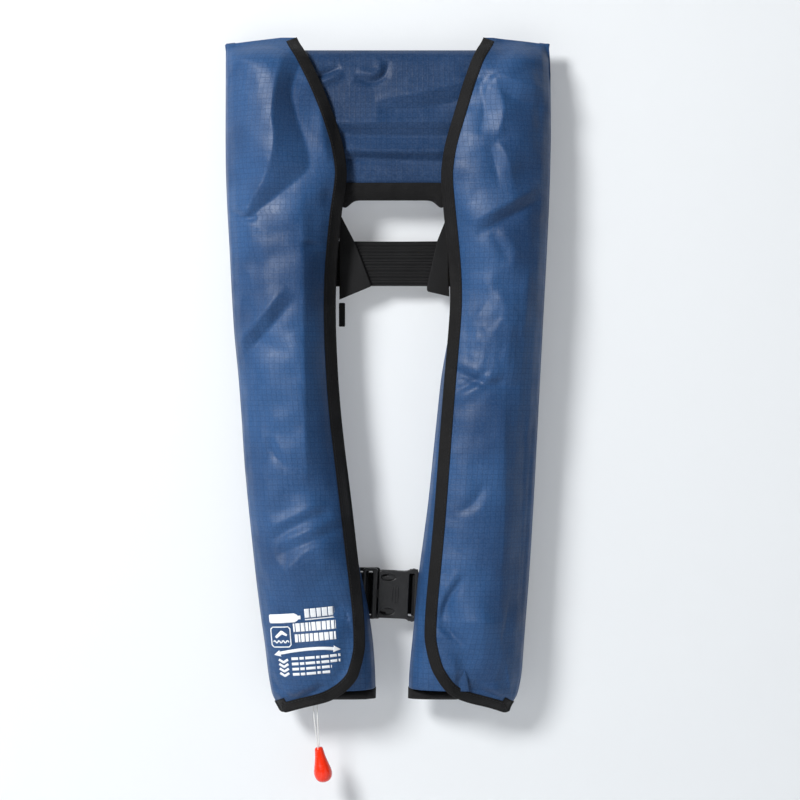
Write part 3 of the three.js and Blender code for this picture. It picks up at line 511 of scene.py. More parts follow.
def moulded(tree, color, rough=0.38, grain=0.05, coat=0.0, scuffs=0.3):
    """Moulded plastic or rubber with a fine grain and faint scuffs."""
    place = object_point(tree)
    pale = tuple(min(1.0, c + 0.12 * (1 - c)) for c in color)
    marks = ranged(tree, noise_value(tree, place, 90, 5, 0.7), 0.5, 0.8, 0.0, scuffs)
    fine = noise_value(tree, place, 1500, 2)
    return {
        "Base Color": mixed(tree, marks, color, pale),
        "Roughness": ranged(tree, noise_value(tree, place, 160, 4), 0.3, 0.7, rough - 0.08, rough + 0.1),
        "Normal": bumped(tree, fine, grain, bumped(tree, noise_value(tree, place, 60, 2), 0.15)),
        "Coat Weight": coat,
        "Coat Roughness": 0.12,
    }


def metal(tree, color, rough=0.28, brushed=900.0):
    """Turned or plated metal with fine marks round its axis and duller patches."""
    place = object_point(tree)
    squeeze = {"Vector": place, "Scale": (0.15, 0.15, 1.0)}
    stretched = shader_node(tree, "ShaderNodeMapping", squeeze).outputs[0]
    lines = noise_value(tree, stretched, brushed, 3)
    patches = noise_value(tree, place, 70, 4)
    dull = tuple(0.6 * c for c in color)
    return {
        "Base Color": mixed(tree, ranged(tree, patches, 0.45, 0.75, 0.0, 0.6), color, dull),
        "Metallic": 1.0,
        "Roughness": ranged(tree, patches, 0.3, 0.7, rough - 0.08, rough + 0.14),
        "Normal": bumped(tree, lines, 0.04),
    }


def fuzzy(tree, color):
    """Hook or loop tape: a dense pile of tiny loops."""
    place = object_point(tree)
    pile = {"Vector": place, "Scale": 1100.0}
    cells = shader_node(tree, "ShaderNodeTexVoronoi", pile).outputs["Distance"]
    pale = tuple(2.5 * c for c in color)
    return {
        "Base Color": mixed(tree, cells, color, pale),
        "Roughness": 0.9,
        "Normal": bumped(tree, cells, 0.5),
        "Sheen Weight": 0.7,
    }


def coated(tree, color):
    """Polyurethane coated bladder fabric: a faint weave under a soft gloss, with painted shade in the hollows of
    its folds.
    """
    place = object_point(tree)
    weave = noise_value(tree, place, 1300, 2)
    folds = noise_value(tree, place, 55, 4, 0.6)
    fold_shade_color = (color[0] * 0.8, color[1] * 0.62, color[2] * 0.5)
    return {
        # painted shade: darker where the folds are low
        "Base Color": mixed(tree, ranged(tree, folds, 0.35, 0.65, 0.0, 1.0), fold_shade_color, color),
        "Roughness": ranged(tree, folds, 0.3, 0.7, 0.3, 0.45),
        "Normal": bumped(tree, weave, 0.06, bumped(tree, folds, 1.2)),
        "Coat Weight": 0.25,
        "Coat Roughness": 0.2,
    }


def reflective(tree):
    """Silver reflective tape with a fine diamond grid pressed into it."""
    u, v = uv_parts(tree)
    a = thin_line(tree, maths(tree, "ADD", u, v), 2.4, 0.2)
    b = thin_line(tree, maths(tree, "SUBTRACT", u, v), 2.4, 0.2)
    grid = maths(tree, "MAXIMUM", a, b)
    return {
        "Base Color": mixed(tree, grid, (0.7, 0.72, 0.74), (0.36, 0.38, 0.4)),
        "Metallic": 0.6,
        "Roughness": ranged(tree, noise_value(tree, object_point(tree), 80), 0.3, 0.7, 0.22, 0.4),
        "Normal": bumped(tree, grid, 0.08),
    }


def ink(tree):
    """White screen print, worn thin where the weave stands up."""
    u, v = uv_parts(tree)
    weave = maths(tree, "MULTIPLY", wave(tree, u, 0.9), wave(tree, v, 0.9))
    worn = noise_value(tree, object_point(tree), 500, 3)
    share = ranged(tree, maths(tree, "ADD", weave, worn), 0.75, 1.25, 0.0, 0.28)
    return {
        "Base Color": mixed(tree, share, (0.82, 0.84, 0.86), (0.3, 0.38, 0.52)),
        "Roughness": ranged(tree, worn, 0.3, 0.7, 0.5, 0.65),
        "Normal": bumped(tree, weave, 0.05),
    }


def make_materials():
    black = (0.005, 0.005, 0.0055)
    return {
        # the cover's two colours are a lit and a shaded copy of the nylon, mixed by ripstop as painted shade
        "cover": surface("cover_fabric", ripstop, (0.019, 0.069, 0.182), (0.0115, 0.044, 0.124), 0.46),
        # painted shade: the collar is the same nylon in darker colours, for a collar that lies in shade
        "collar": surface("collar_fabric_painted_shade", ripstop, (0.009, 0.037, 0.105), (0.006, 0.027, 0.08), 0.46,
                          slot="cover_fabric"),
        "binding": surface("binding_tape", webbing, (0.005, 0.0048, 0.005), 1.6, 1.1, 0.2),
        "closure": surface("closure_tape", fuzzy, (0.02, 0.02, 0.022)),
        "elastic": surface("elastic_web", webbing, black, 1.2, 0.9, 0.2, 0.6),
        "patch": surface("patch_fabric", webbing, (0.006, 0.006, 0.0065), 1.0, 1.0, 0.1, 0.65),
        "belt": surface("belt_web", webbing, black, 2.4, 1.5, 0.3, 0.62),
        "bladder": surface("bladder_fabric", coated, (0.85, 0.56, 0.04)),
        "reflective": surface("reflective_tape", reflective),
        "buckle": surface("buckle_plastic", moulded, (0.008, 0.008, 0.009), 0.36, 0.05, 0.0, 0.1),
        "inflator": surface("inflator_plastic", moulded, (0.03, 0.031, 0.034), 0.42, 0.07),
        "lever": surface("lever_plastic", moulded, (0.72, 0.72, 0.7), 0.35, 0.04),
        "clip": surface("clip_plastic", moulded, (0.05, 0.4, 0.12), 0.3, 0.03),
        "brass": surface("brass", metal, (0.72, 0.5, 0.2), 0.3),
        "gasket": surface("gasket_rubber", moulded, (0.015, 0.015, 0.015), 0.6, 0.06),
        "steel": surface("steel", metal, (0.62, 0.63, 0.65), 0.26),
        "cord": surface("cord_fibre", webbing, (0.72, 0.72, 0.7), 0.8, 0.8, 0.15, 0.7),
        "toggle": surface("toggle_plastic", moulded, (0.9, 0.026, 0.0), 0.22, 0.0, 0.35, 0.04),
        "tube": surface("tube_plastic", moulded, (0.018, 0.019, 0.021), 0.4, 0.05),
        "valve": surface("valve_plastic", moulded, (0.03, 0.05, 0.08), 0.35, 0.03),
        "cap": surface("cap_plastic", moulded, (0.62, 0.05, 0.02), 0.32, 0.03, 0.2),
        "whistle": surface("whistle_plastic", moulded, (0.85, 0.22, 0.02), 0.28, 0.02, 0.3),
        "ink": surface("screen_print", ink, slot="cover_fabric"),
        "thread": surface("thread", webbing, (0.01, 0.01, 0.011), 0.5, 0.5, 0.08, 0.6, slot="binding_tape"),
        "blue_thread": surface("blue_thread", webbing, (0.03, 0.06, 0.14), 0.5, 0.5, 0.08, 0.6,
                               slot="cover_fabric"),
    }


LOOK = make_materials()


def dressed(obj, look):
    """Gives an object its material."""
    material, slot = LOOK[look]
    obj.data.materials.clear()
    obj.data.materials.append(material)
    return obj


def stand_for(obj, look, *nodes):
    """obj takes the place of these CAD nodes, which all belong to one body."""
    dressed(obj, look)
    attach(obj, BODY_OF[nodes[0]])
    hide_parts(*nodes)
    return obj


def cloth_piece(name, node, look, grid, thickness, weave=(0, 2), flip=True):
    """A sheet in place of its CAD node; weave names the two axes that its threads follow."""
    obj = grid_object(name, grid, grid[:, :, list(weave)], flip=flip)
    return stand_for(thicken(obj, thickness), look, node)


def sewn_to(obj, look, body):
    dressed(obj, look)
    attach(obj, body)
    return obj


# ---- cloth shapes: folds laid on a surface ----
FOLD_GAIN = 1.9


def line_distance(x, z, path):
    """Signed distance of points to a curve in x and z, and their share of the way along it."""
    line = spline(path, 28)
    best = np.full(x.shape, 1e9)
    side = np.zeros(x.shape)
    share = np.zeros(x.shape)
    for i in range(len(line) - 1):
        a, d = line[i], line[i + 1] - line[i]
        t = np.clip(((x - a[0]) * d[0] + (z - a[1]) * d[1]) / (d @ d), 0, 1)
        dx, dz = x - a[0] - t * d[0], z - a[1] - t * d[1]
        distance = np.hypot(dx, dz)
        nearer = distance < best
        best = np.where(nearer, distance, best)
        side = np.where(nearer, np.sign(d[0] * dz - d[1] * dx), side)
        share = np.where(nearer, (i + t) / (len(line) - 1), share)
    return best * side, share


def crease(x, z, path, depth, width, lip=0.45, side=1):
    """A valley along a path with a soft lip on one side; side 1 is to the left of the path."""
    distance, share = line_distance(x, z, path)
    fade = np.sin(math.pi * np.clip(share, 0.0, 1.0)) ** 0.6
    valley = -np.exp(-((np.abs(distance) / width) ** 1.5))
    ridge = lip * np.exp(-(((distance * side - 2.0 * width) / (1.3 * width)) ** 2))
    return FOLD_GAIN * depth * fade * (valley + ridge)


def ridge(x, z, path, height, width):
    distance, share = line_distance(x, z, path)
    fade = np.sin(math.pi * np.clip(share, 0.0, 1.0)) ** 0.5
    return FOLD_GAIN * height * fade * np.exp(-((np.abs(distance) / width) ** 1.4))


def facet(x, z, high, low, height, reach=16.0):
    """A flat slope from a crest down to a trough; the low path is on the left of the high one."""
    to_high, share = line_distance(x, z, high)
    to_low, other_share = line_distance(x, z, low)
    a, b = np.abs(to_high), np.abs(to_low)
    slope = (b - a) / np.maximum(a + b, 1e-6)
    outside = np.where(to_high < 0, np.exp(-((a / reach) ** 1.2)), -np.exp(-((b / reach) ** 1.2)))
    between = (to_high >= 0) & (to_low <= 0)
    along = np.clip((share + other_share) / 2, 0, 1)
    return FOLD_GAIN * height * np.sin(math.pi * along) ** 0.5 * np.where(between, slope, outside)


def bulge(x, z, centre, size, height, turn=0.0):
    """A soft oval hill: size is its half widths, turn tilts it in degrees."""
    angle = math.radians(turn)
    dx, dz = x - centre[0], z - centre[1]
    a = (dx * math.cos(angle) + dz * math.sin(angle)) / size[0]
    b = (dz * math.cos(angle) - dx * math.sin(angle)) / size[1]
    return height * np.exp(-(a * a + b * b))


def crumple(x, z, size, seed, stretch=1.0):
    """Soft noise between about -1 and 1, larger along z where stretch is above 1."""
    values = np.zeros(x.shape)
    for index in np.ndindex(x.shape):
        spot = Vector((x[index] / size, z[index] / (size * stretch), seed))
        values[index] = noise.noise(spot) + 0.5 * noise.noise(spot * 2.1)
    return values


def ridged(x, z, size, seed, stretch=1.0):
    """Sharp-crested noise from 0 to 1, like creased nylon."""
    return 1 - np.minimum(1, 2.2 * np.abs(crumple(x, z, size, seed, stretch)))


def crushed(x, z, centre, size, height, grain, seed):
    """An oval patch of fine creases."""
    falloff = -(((z - centre[1]) / size[1]) ** 2) - ((x - centre[0]) / size[0]) ** 2
    return height * ridged(x, z, grain, seed) * np.exp(falloff)


def laid(up, x, z, folds):
    """Adds folds to a height; each is listed as its kind and what that function takes after x and z."""
    for kind, *lie in folds:
        up = up + kind(x, z, *lie)
    return up


PRESSURE = 4.0  # on the sheet from the padding inside it
SPARE_CLOTH = 0.035  # a sheet is cut this much larger than the shape it covers
DRAPE_FRAMES = 18
DRAPE_CAP = 6.0  # mm that a point may move


def draped(x, y, z):
    """How far each point of a padded sheet moves along y as its spare cloth settles; its border is held."""
    scene = bpy.context.scene
    rows = np.unique(np.linspace(0, x.shape[0] - 1, 150).astype(int))
    columns = np.unique(np.linspace(0, x.shape[1] - 1, 34).astype(int))
    grid = np.stack([x, y, z], axis=2)[np.ix_(rows, columns)]
    obj = grid_object("drape", grid, flip=x[0, 0] < x[0, -1])
    held = obj.vertex_groups.new(name="held")
    last_row, last_column = len(rows) - 1, len(columns) - 1
    for i in range(len(rows)):
        for j in range(len(columns)):
            if i in (0, last_row) or j in (0, 1, last_column):
                held.add([i * len(columns) + j], 1.0, "REPLACE")
    cloth = obj.modifiers.new("cloth", "CLOTH")
    settings = cloth.settings
    settings.quality = 5
    settings.mass = 0.2
    settings.tension_stiffness = 12
    settings.compression_stiffness = 12
    settings.bending_stiffness = 0.35
    settings.use_pressure = True
    settings.uniform_pressure_force = PRESSURE
    settings.shrink_min = -SPARE_CLOTH
    settings.shrink_max = -SPARE_CLOTH
    settings.vertex_group_mass = "held"
    settings.effector_weights.gravity = 0.0
    cloth.point_cache.frame_start = 1
    cloth.point_cache.frame_end = DRAPE_FRAMES
    scene.frame_start, scene.frame_end = 1, DRAPE_FRAMES
    for step in range(1, DRAPE_FRAMES + 1):
        scene.frame_set(step)
    bake(obj)
    scene.frame_set(1)
    after = np.zeros(len(obj.data.vertices) * 3)
    obj.data.vertices.foreach_get("co", after)
    change = (after.reshape(grid.shape) / MM - grid)[:, :, 1]
    bpy.data.objects.remove(obj)
    change = DRAPE_CAP * np.tanh(change / DRAPE_CAP)
    wide = np.array([np.interp(np.arange(x.shape[1]), columns, row) for row in change])
    return np.array([np.interp(np.arange(x.shape[0]), rows, wide[:, j]) for j in range(x.shape[1])]).T


class Sheet:
    """Cloth over part of the frame: rows run down in z, columns from its wall edge to its other edge."""

    def __init__(self, nodes, heights, wall, other, columns, folds, blur=(6, 2), padded=False):
        self.z, self.wall, self.other = heights, wall, other
        share = 1 - np.cos(np.linspace(0, math.pi / 2, columns))
        self.x = wall[:, None] + (other - wall)[:, None] * share[None, :]
        grid_z = np.repeat(heights[:, None], columns, axis=1)
        inward = np.sign(other - wall)[:, None] * 0.2
        depth = ray_depths(nodes, self.x + inward * (share[None, :] < 0.01), grid_z)
        depth = np.array([filled(row) for row in depth])
        depth[:, 0] = HEM_Y
        depth = softened(depth, *blur)
        depth[:, 0] = HEM_Y
        if padded:
            depth = depth + softened(draped(self.x, depth, grid_z), 2.0, 2.0)
        from_wall = np.abs(self.x - wall[:, None])
        free = np.clip(from_wall / 7, 0, 1)
        self.y = depth - folds(self.x, grid_z, self) * free
        self.columns = columns

    def at(self, x, z):
        """y of the surface at points (x, z)."""
        row = np.interp(-np.asarray(z, float), -self.z, np.arange(len(self.z)))
        wall = np.interp(row, np.arange(len(self.z)), self.wall)
        other = np.interp(row, np.arange(len(self.z)), self.other)
        share = np.clip((x - wall) / (other - wall), 0, 1)
        column = np.arccos(1 - share) / (math.pi / 2) * (self.columns - 1)
        i = np.clip(row.astype(int), 0, len(self.z) - 2)
        j = np.clip(column.astype(int), 0, self.columns - 2)
        a, b = row - i, column - j
        top = self.y[i, j] * (1 - b) + self.y[i, j + 1] * b
        low = self.y[i + 1, j] * (1 - b) + self.y[i + 1, j + 1] * b
        return top * (1 - a) + low * a

    def grid(self):
        """Points of the sheet, wrapped round its wall edge on to the back."""
        grid = np.stack([self.x, self.y, np.repeat(self.z[:, None], self.columns, axis=1)], axis=2)
        inward = np.sign(self.other - self.wall)
        extra = []
        for reach, y in ((9.0, -0.9), (3.5, -1.0), (0.6, -1.6)):
            column = grid[:, 0].copy()
            column[:, 0] += inward * reach
            column[:, 1] = y
            extra.append(column)
        return np.concatenate([np.stack(extra, axis=1), grid], axis=1)


def heights_between(top, bottom, count):
    """Heights from top to bottom, closer together near both ends."""
    u = np.linspace(0, 1, count)
    eased = (u + 0.5 - 0.5 * np.cos(math.pi * u)) / 2
    return top + (bottom - top) * eased


# ---- the lobes ----
SIDES = {"left": 1, "right": -1}  # the direction in x from a lobe to the gap
TAPE = 10.0  # visible width of the edge binding
SEAM_INSET = 8.2  # from the free edge to the binding's stitches
STITCH_PITCH = 3.3
FRONT_PARTS = ("front_cover", "front_flap", "cover_binding", "flap_binding")


def bends(obj):
    """Bakes obj's placement into its mesh."""
    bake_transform(obj)


LEFT_FOLDS = [
    (facet, [(-98, 66), (-105, 34), (-108, 6), (-106, -22), (-114, -52), (-137, -92)],
     [(-80, 62), (-90, 32), (-86, 6), (-73, -40), (-92, -62), (-128, -90)], 4.2, 20),
    (facet, [(-62, 22), (-60, -10), (-56, -36)], [(-50, 10), (-48, -16), (-48, -40)], 1.6, 10),
    (bulge, (-54, -70), (6, 8), -2.4),
    (crease, [(-148, -84), (-137, -91), (-122, -92)], 2.0, 3.0, 0.6, 1),
    (facet, [(-80, -70), (-78, -150), (-77, -240), (-75, -352)],
     [(-57, -76), (-56, -150), (-55, -240), (-50, -346)], 3.4, 18),
    (crease, [(-80, -117), (-70, -118), (-58, -120)], 1.5, 2.4, 0.5, 1),
    (facet, [(-94, -158), (-118, -186), (-146, -217)],
     [(-88, -170), (-112, -199), (-143, -232)], 2.6, 10),
    (ridge, [(-150, -226), (-142, -236), (-141, -254)], 1.8, 4),
    (facet, [(-56, -362), (-84, -373), (-112, -388)],
     [(-54, -370), (-82, -382), (-110, -398)], 1.5, 9),
    (facet, [(-36, -372), (-66, -385), (-106, -402)],
     [(-35, -382), (-64, -395), (-104, -411)], 1.7, 9),
    (facet, [(-38, -396), (-72, -406), (-98, -428)],
     [(-34, -466), (-66, -474), (-92, -486)], 5.0, 16),
    (facet, [(-118, -300), (-114, -400), (-106, -480)],
     [(-98, -300), (-96, -400), (-90, -480)], 0.8, 20),
    (crease, [(-112, -300), (-104, -318), (-92, -330)], 1.2, 4, 0.4, 1),
    (crease, [(-102, -552), (-84, -548), (-58, -536)], 1.4, 3.2, 0.6, 1),
    (crease, [(-112, -530), (-100, -542), (-86, -548)], 1.2, 3.0, 0.5, -1),
]


RIGHT_FOLDS = [
    (facet, [(158, 30), (130, 36), (102, 46)], [(158, 12), (130, 18), (106, 30)], 2.4, 16),
    (facet, [(105, -18), (111, 12), (102, 44)], [(90, -12), (93, 12), (88, 40)], 2.0, 10),
    (facet, [(120, -64), (115, -38), (106, -20)], [(106, -60), (102, -38), (97, -24)], 1.7, 9),
    (facet, [(146, -62), (114, -80), (80, -98)], [(146, -74), (117, -91), (84, -109)], 2.4, 10),
    (crease, [(100, -108), (110, -122), (118, -136)], 1.0, 4.5, 0.6, 1),
    (facet, [(112, -250), (116, -205), (108, -165)],
     [(78, -250), (76, -205), (74, -165)], 1.4, 12),
    (crushed, (100, -205), (34, 36), 0.9, 15, 21.0),
    (crease, [(60, -234), (76, -242), (96, -250), (112, -248)], 2.0, 3.8, 0.6, 1),
    (crease, [(62, -258), (78, -250), (98, -236)], 1.7, 3.6, 0.5, -1),
    (facet, [(112, -270), (112, -360), (108, -470)],
     [(132, -270), (130, -360), (126, -470)], 2.2, 18),
    (crease, [(52, -474), (60, -452), (74, -430)], 2.0, 3.6, 0.6, 1),
    (crease, [(50, -476), (60, -484), (76, -498)], 1.8, 3.6, 0.6, -1),
    (facet, [(112, -478), (88, -474), (62, -476)], [(116, -530), (90, -534), (66, -528)], 4.2, 16),
    (crease, [(92, -342), (84, -360), (66, -372)], 1.2, 4.5, 0.4, 1),
    (crease, [(118, -552), (100, -545), (74, -534)], 1.4, 3.2, 0.6, -1),
]


def lobe_folds(folds, wave_size, stretch, crease_size, seed):
    """How the cloth of one lobe lies: soft waves, its own folds, and gathers along its bound edge."""

    def lie(x, z, sheet):
        edge = np.abs(sheet.other[:, None] - x)
        up = 0.8 * crumple(x, z, wave_size, seed, stretch) + 0.4 * ridged(x, z, crease_size, seed + 4, 1.6)
        return laid(up, x, z, folds) + pucker(x, z, edge, seed + 2)

    return lie


def pucker(x, z, edge, seed):
    """Short gathers that run in from a bound edge and die out."""
    wide = 0.9 * crumple(np.full(x.shape, 1.0), z, 11, seed, 1.0)
    fine = 0.4 * crumple(np.full(x.shape, 2.0), z, 5, seed + 1, 1.0)
    return (wide + fine) * np.exp(-((edge / 16) ** 1.4))


SHOULDER = 15.0  # above this height a lobe's outer edge runs nearly straight up to a square corner


def front_sheet(side, folds):
    """The whole front of a lobe from its outer wall to the bound free edge."""
    sign = SIDES[side]
    nodes = [f"{part}_{side}" for part in FRONT_PARTS]
    top = box(f"front_cover_{side}")[1][2] - 0.3
    bottom = box(f"flap_binding_{side}")[0][2] + 1.2
    heights = heights_between(top, bottom, 330)
    low, high = slices(nodes, heights)
    outer, free = (low, high) if sign > 0 else (high, low)
    outer, free = smoothed(filled(outer), 4), smoothed(filled(free), 4)
    square = np.interp(-SHOULDER, -heights, outer)
    outer = np.where(heights > SHOULDER, square + 0.25 * (outer - square), outer)
    return Sheet(nodes, heights, outer, free, 84, folds, padded=True)


def shoulder_drop(x, z):
    """The top of each lobe falls away towards its outer corner."""
    return 6.5 * np.clip((np.abs(x) - 102) / 52, 0, 1) * np.clip((z - 50) / 36, 0, 1)


def add_front_shell(side, sheet):
    grid = sheet.grid()
    shoulder = grid[[0, 0, 0]]
    shoulder[:2, :, 1] = -0.9
    shoulder[2, :, 1] = 0.5 * grid[0, :, 1] - 0.5
    shoulder[0, :, 2] -= 8
    shoulder[2, :, 2] += 0.25
    grid = np.concatenate([shoulder, grid])
    grid[:, :, 2] -= shoulder_drop(grid[:, :, 0], grid[:, :, 2])
    uv = grid[:, :, [0, 2]].copy()
    uv[:3, :, 1] += np.array([30, 20, 10])[:, None]
    steps = np.linalg.norm(np.diff(grid, axis=1), axis=2)
    uv[:, 1:, 0] = np.cumsum(steps, axis=1)
    uv[:, 0, 0] = 0
    obj = grid_object(f"front_shell_{side}", grid, uv, flip=SIDES[side] > 0)
    thicken(obj, 1.2)
    dressed(obj, "cover")
    bends(obj)
    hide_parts(f"front_cover_{side}", f"front_flap_{side}")
    return obj


def edge_path(sheet, count=420):
    """The free edge as points in x and z with unit normals that point into the sheet."""
    down = np.stack([sheet.other, sheet.z], axis=1)[::6]
    foot = sheet.z[-1]
    across = [(sheet.other[-1] * (1 - s) + sheet.wall[-1] * s, foot) for s in (0.25, 0.6, 0.9)]
    inset = 0.4 * np.sign(sheet.other - sheet.wall)
    up = [(sheet.wall[i] + inset[i], sheet.z[i]) for i in (-4, -7, -10)]
    line = spline(np.vstack([down, across, up]), count)
    tangent = directions_along(line)
    normal = np.stack([tangent[:, 1], -tangent[:, 0]], axis=1)
    inward = np.sign(sheet.wall - sheet.other).mean()
    if normal[: count // 2, 0].mean() * inward < 0:
        normal = -normal
    return line, normal


def add_edge_tape(side, sheet):
    """Black tape folded over the free edge, on both faces of the cloth."""
    line, normal = edge_path(sheet)
    section = [
        (TAPE, 0.05), (TAPE, 0.55), (9.4, 0.8), (7, 0.95), (4.5, 1.0), (2, 0.95), (0.3, 0.75), (-0.8, 0.2),
        (-1.1, -0.6), (-0.8, -1.4), (0.3, -1.95), (3, -2.1), (6, -2.1), (8.5, -2.0), (8.5, -1.3), (4, -1.3),
        (0.2, -1.3), (0.0, -0.6), (0.2, 0.05), (4, 0.05), (7, 0.05),
    ]
    grid = np.zeros((len(line), len(section), 3))
    uv = np.zeros((len(line), len(section), 2))
    along = lengths_along(line)
    for j, (reach, lift) in enumerate(section):
        spot = line + normal * reach
        grid[:, j, 0], grid[:, j, 2] = spot[:, 0], spot[:, 1]
        inside = line + normal * max(reach, 0.3)
        grid[:, j, 1] = sheet.at(inside[:, 0], inside[:, 1]) - lift
        uv[:, j, 0] = reach
        uv[:, j, 1] = along
    obj = grid_object(f"edge_tape_{side}", grid, uv, closed=True, flip=SIDES[side] < 0)
    outward(obj)
    dressed(obj, "binding")
    bends(obj)
    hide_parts(f"cover_binding_{side}", f"flap_binding_{side}")
    return obj


def stitches(name, places, directions, length=2.3, radius=0.32):
    """Thread along a seam: one small rounded stitch at each place."""
    sides, rings = 6, [(-0.5, 0.35), (-0.36, 0.85), (0.0, 1.0), (0.36, 0.85), (0.5, 0.35)]
    points, faces, uv = [], [], []
    for place, direction in zip(places, directions):
        direction = direction / np.linalg.norm(direction)
        side = np.cross(direction, [0.0, 1.0, 0.0])
        side /= max(np.linalg.norm(side), 1e-6)
        up = np.cross(side, direction)
        start = len(points)
        for along, size in rings:
            for k in range(sides):
                angle = 2 * math.pi * k / sides
                offset = radius * size * (math.cos(angle) * side + 0.7 * math.sin(angle) * up)
                points.append(place + direction * along * length + offset)
                uv.append((k * 0.3, along * length))
        faces += [[start + i for i in face] for face in grid_faces(len(rings), sides, closed=True)]
        faces.append([start + k for k in range(sides)][::-1])
        faces.append([start + (len(rings) - 1) * sides + k for k in range(sides)])
    return mesh_object(name, points, faces, uv)


def add_edge_stitches(side, sheet):
    line, normal = edge_path(sheet)
    along = lengths_along(line)
    even = np.arange(4, along[-1] - 4, STITCH_PITCH)
    seam = line + SEAM_INSET * normal
    spot = np.stack([np.interp(even, along, column) for column in seam.T], axis=1)
    y = sheet.at(spot[:, 0], spot[:, 1]) - 1.0
    places = np.stack([spot[:, 0], y, spot[:, 1]], axis=1)
    obj = stitches(f"edge_stitching_{side}", places, np.gradient(places, axis=0))
    dressed(obj, "thread")
    bends(obj)


# ---- printed marks on the left flap: strokes and bars with no letters ----
MARK_TILT = math.radians(5)
MARK_PIVOT = (-79, -498)
MARK_CENTRE = (-76.5, -493)


def mark(name, sheet, path, widths, closed=False):
    """A printed stroke along a path in x and z; widths are its width at each point."""
    points = [*path, path[0]] if closed else path
    sizes = [*widths, widths[0]] if closed else widths
    corners = np.array(points, float)
    along = lengths_along(corners)
    even = np.unique(np.concatenate([np.arange(0, along[-1], 1.2), along]))
    line = sampled(corners, even)
    size = np.interp(even, along, sizes)
    tangent = directions_along(line)
    normal = np.stack([-tangent[:, 1], tangent[:, 0]], axis=1)
    columns = max(3, int(max(sizes) / 1.2) + 2)
    across = np.linspace(-0.5, 0.5, columns)
    flat = line[:, None, :] + normal[:, None, :] * (across[None, :, None] * size[:, None, None])
    cosine, sine = math.cos(MARK_TILT), math.sin(MARK_TILT)
    tilt = np.array([[cosine, -sine], [sine, cosine]])
    flat = (flat - MARK_PIVOT) @ tilt.T + MARK_CENTRE
    y = sheet.at(flat[..., 0], flat[..., 1]) - 0.22
    grid = np.stack([flat[..., 0], y, flat[..., 1]], axis=2)
    return grid_object(name, grid, flat)


def add_print(sheet):
    marks = []

    def stroke(path, widths, closed=False):
        marks.append(mark(f"stroke_{len(marks)}", sheet, path, widths, closed))

    def bar(x0, x1, z, height):
        stroke([(x0, z), (x1, z)], [height, height])

    def blocks(x0, x1, z, height, widths, gap):
        """A row of plain blocks of unequal widths."""
        x, i = x0, 0
        while x < x1:
            end = min(x + widths[i % len(widths)], x1)
            bar(x, end, z, height)
            x, i = end + gap, i + 1

    bottle = [(-112, -475), (-111, -475), (-87.5, -475), (-85, -475), (-84, -475), (-81.5, -475)]
    stroke(bottle, [6, 8.6, 8.6, 6, 3.6, 3.6])
    blocks(-77.5, -49.5, -471.6, 8.6, (4.6, 5.2, 4.0, 5.0, 4.6), 0.9)
    bar(-77.5, -49.5, -477.6, 1.1)
    square = [(-109.5, -483), (-94.5, -483), (-92.6, -485), (-92.6, -500), (-94.5, -502), (-109.5, -502),
              (-111.4, -500), (-111.4, -485)]
    stroke(square, [1.0] * 8, closed=True)
    wave_line = [(-109.5 + k, -497 + 1.2 * math.sin(k * 1.5)) for k in range(16)]
    stroke(wave_line, [1.1] * 16)
    stroke([(-107, -493), (-101, -488), (-96, -491)], [2.4, 3.4, 1.8])
    blocks(-89.5, -49, -484.4, 8.0, (1.6, 4.2, 3.6, 2.6, 1.6, 3.8, 4.4, 3.8, 3.4, 3.0), 0.8)
    blocks(-88.5, -49.5, -494.4, 7.4, (2.8, 1.6, 3.4, 3.2, 3.2, 4.2, 4.0, 4.2, 3.4, 3.6), 0.8)
    bend = [(-105, -508), (-92, -506), (-78, -505.2), (-64, -505.4), (-52, -507)]
    stroke(spline(bend, 20).tolist(), [3.0] * 20)
    stroke([(-104, -508), (-110, -509.5)], [6.4, 0.2])
    stroke([(-53, -507), (-46.5, -508.2)], [6.4, 0.2])
    for step in range(4):
        z = -514 - 4.4 * step
        stroke([(-106, z), (-101.5, z - 2.8), (-97, z)], [2.3, 2.3, 2.3])
    for step, end in enumerate((-47, -47.5, -56, -58)):
        blocks(-93.5, end, -513.4 - 5.0 * step, 2.6, (6.4, 4.2, 9.0, 3.4, 7.2), 1.3)
    obj = joined("printed_marks", marks)
    thicken(obj, 0.12)
    dressed(obj, "ink")
    bends(obj)


# ---- under flaps ----
def under_folds(x, z, sheet):
    return 0.7 * crumple(x, z, 22, 31.0, 2.0) + 0.5 * ridged(x, z, 18, 33.0, 2.0)


def under_sheet(side, node, top, bottom, rows, lift=0.0):
    """The cloth under a flap's free edge, from the gap edge outwards."""
    sign = SIDES[side]
    heights = heights_between(top, bottom, rows)
    low, high = slices([node], heights)
    gap = smoothed(filled(high if sign > 0 else low), 4)
    reach = smoothed(filled(low if sign > 0 else high), 4)
    sheet = Sheet([node], heights, gap, reach, 40, under_folds, (4, 1.5))
    sheet.y -= lift
    return sheet


def add_under_flap(side):
    low, high = box(f"under_flap_{side}")
    sheet = under_sheet(side, f"under_flap_{side}", high[2] - 0.2, low[2] + 0.2, 160)
    flip = SIDES[side] < 0
    cloth_piece(f"under_cloth_{side}", f"under_flap_{side}", "cover", sheet.grid(), 1.0, flip=flip)
    low, high = box(f"under_binding_{side}")
    tape = under_sheet(side, f"under_binding_{side}", high[2] + 1.0, low[2], 10, 0.2)
    cloth_piece(f"under_tape_{side}", f"under_binding_{side}", "binding", tape.grid(), 1.6, (2, 0), flip)


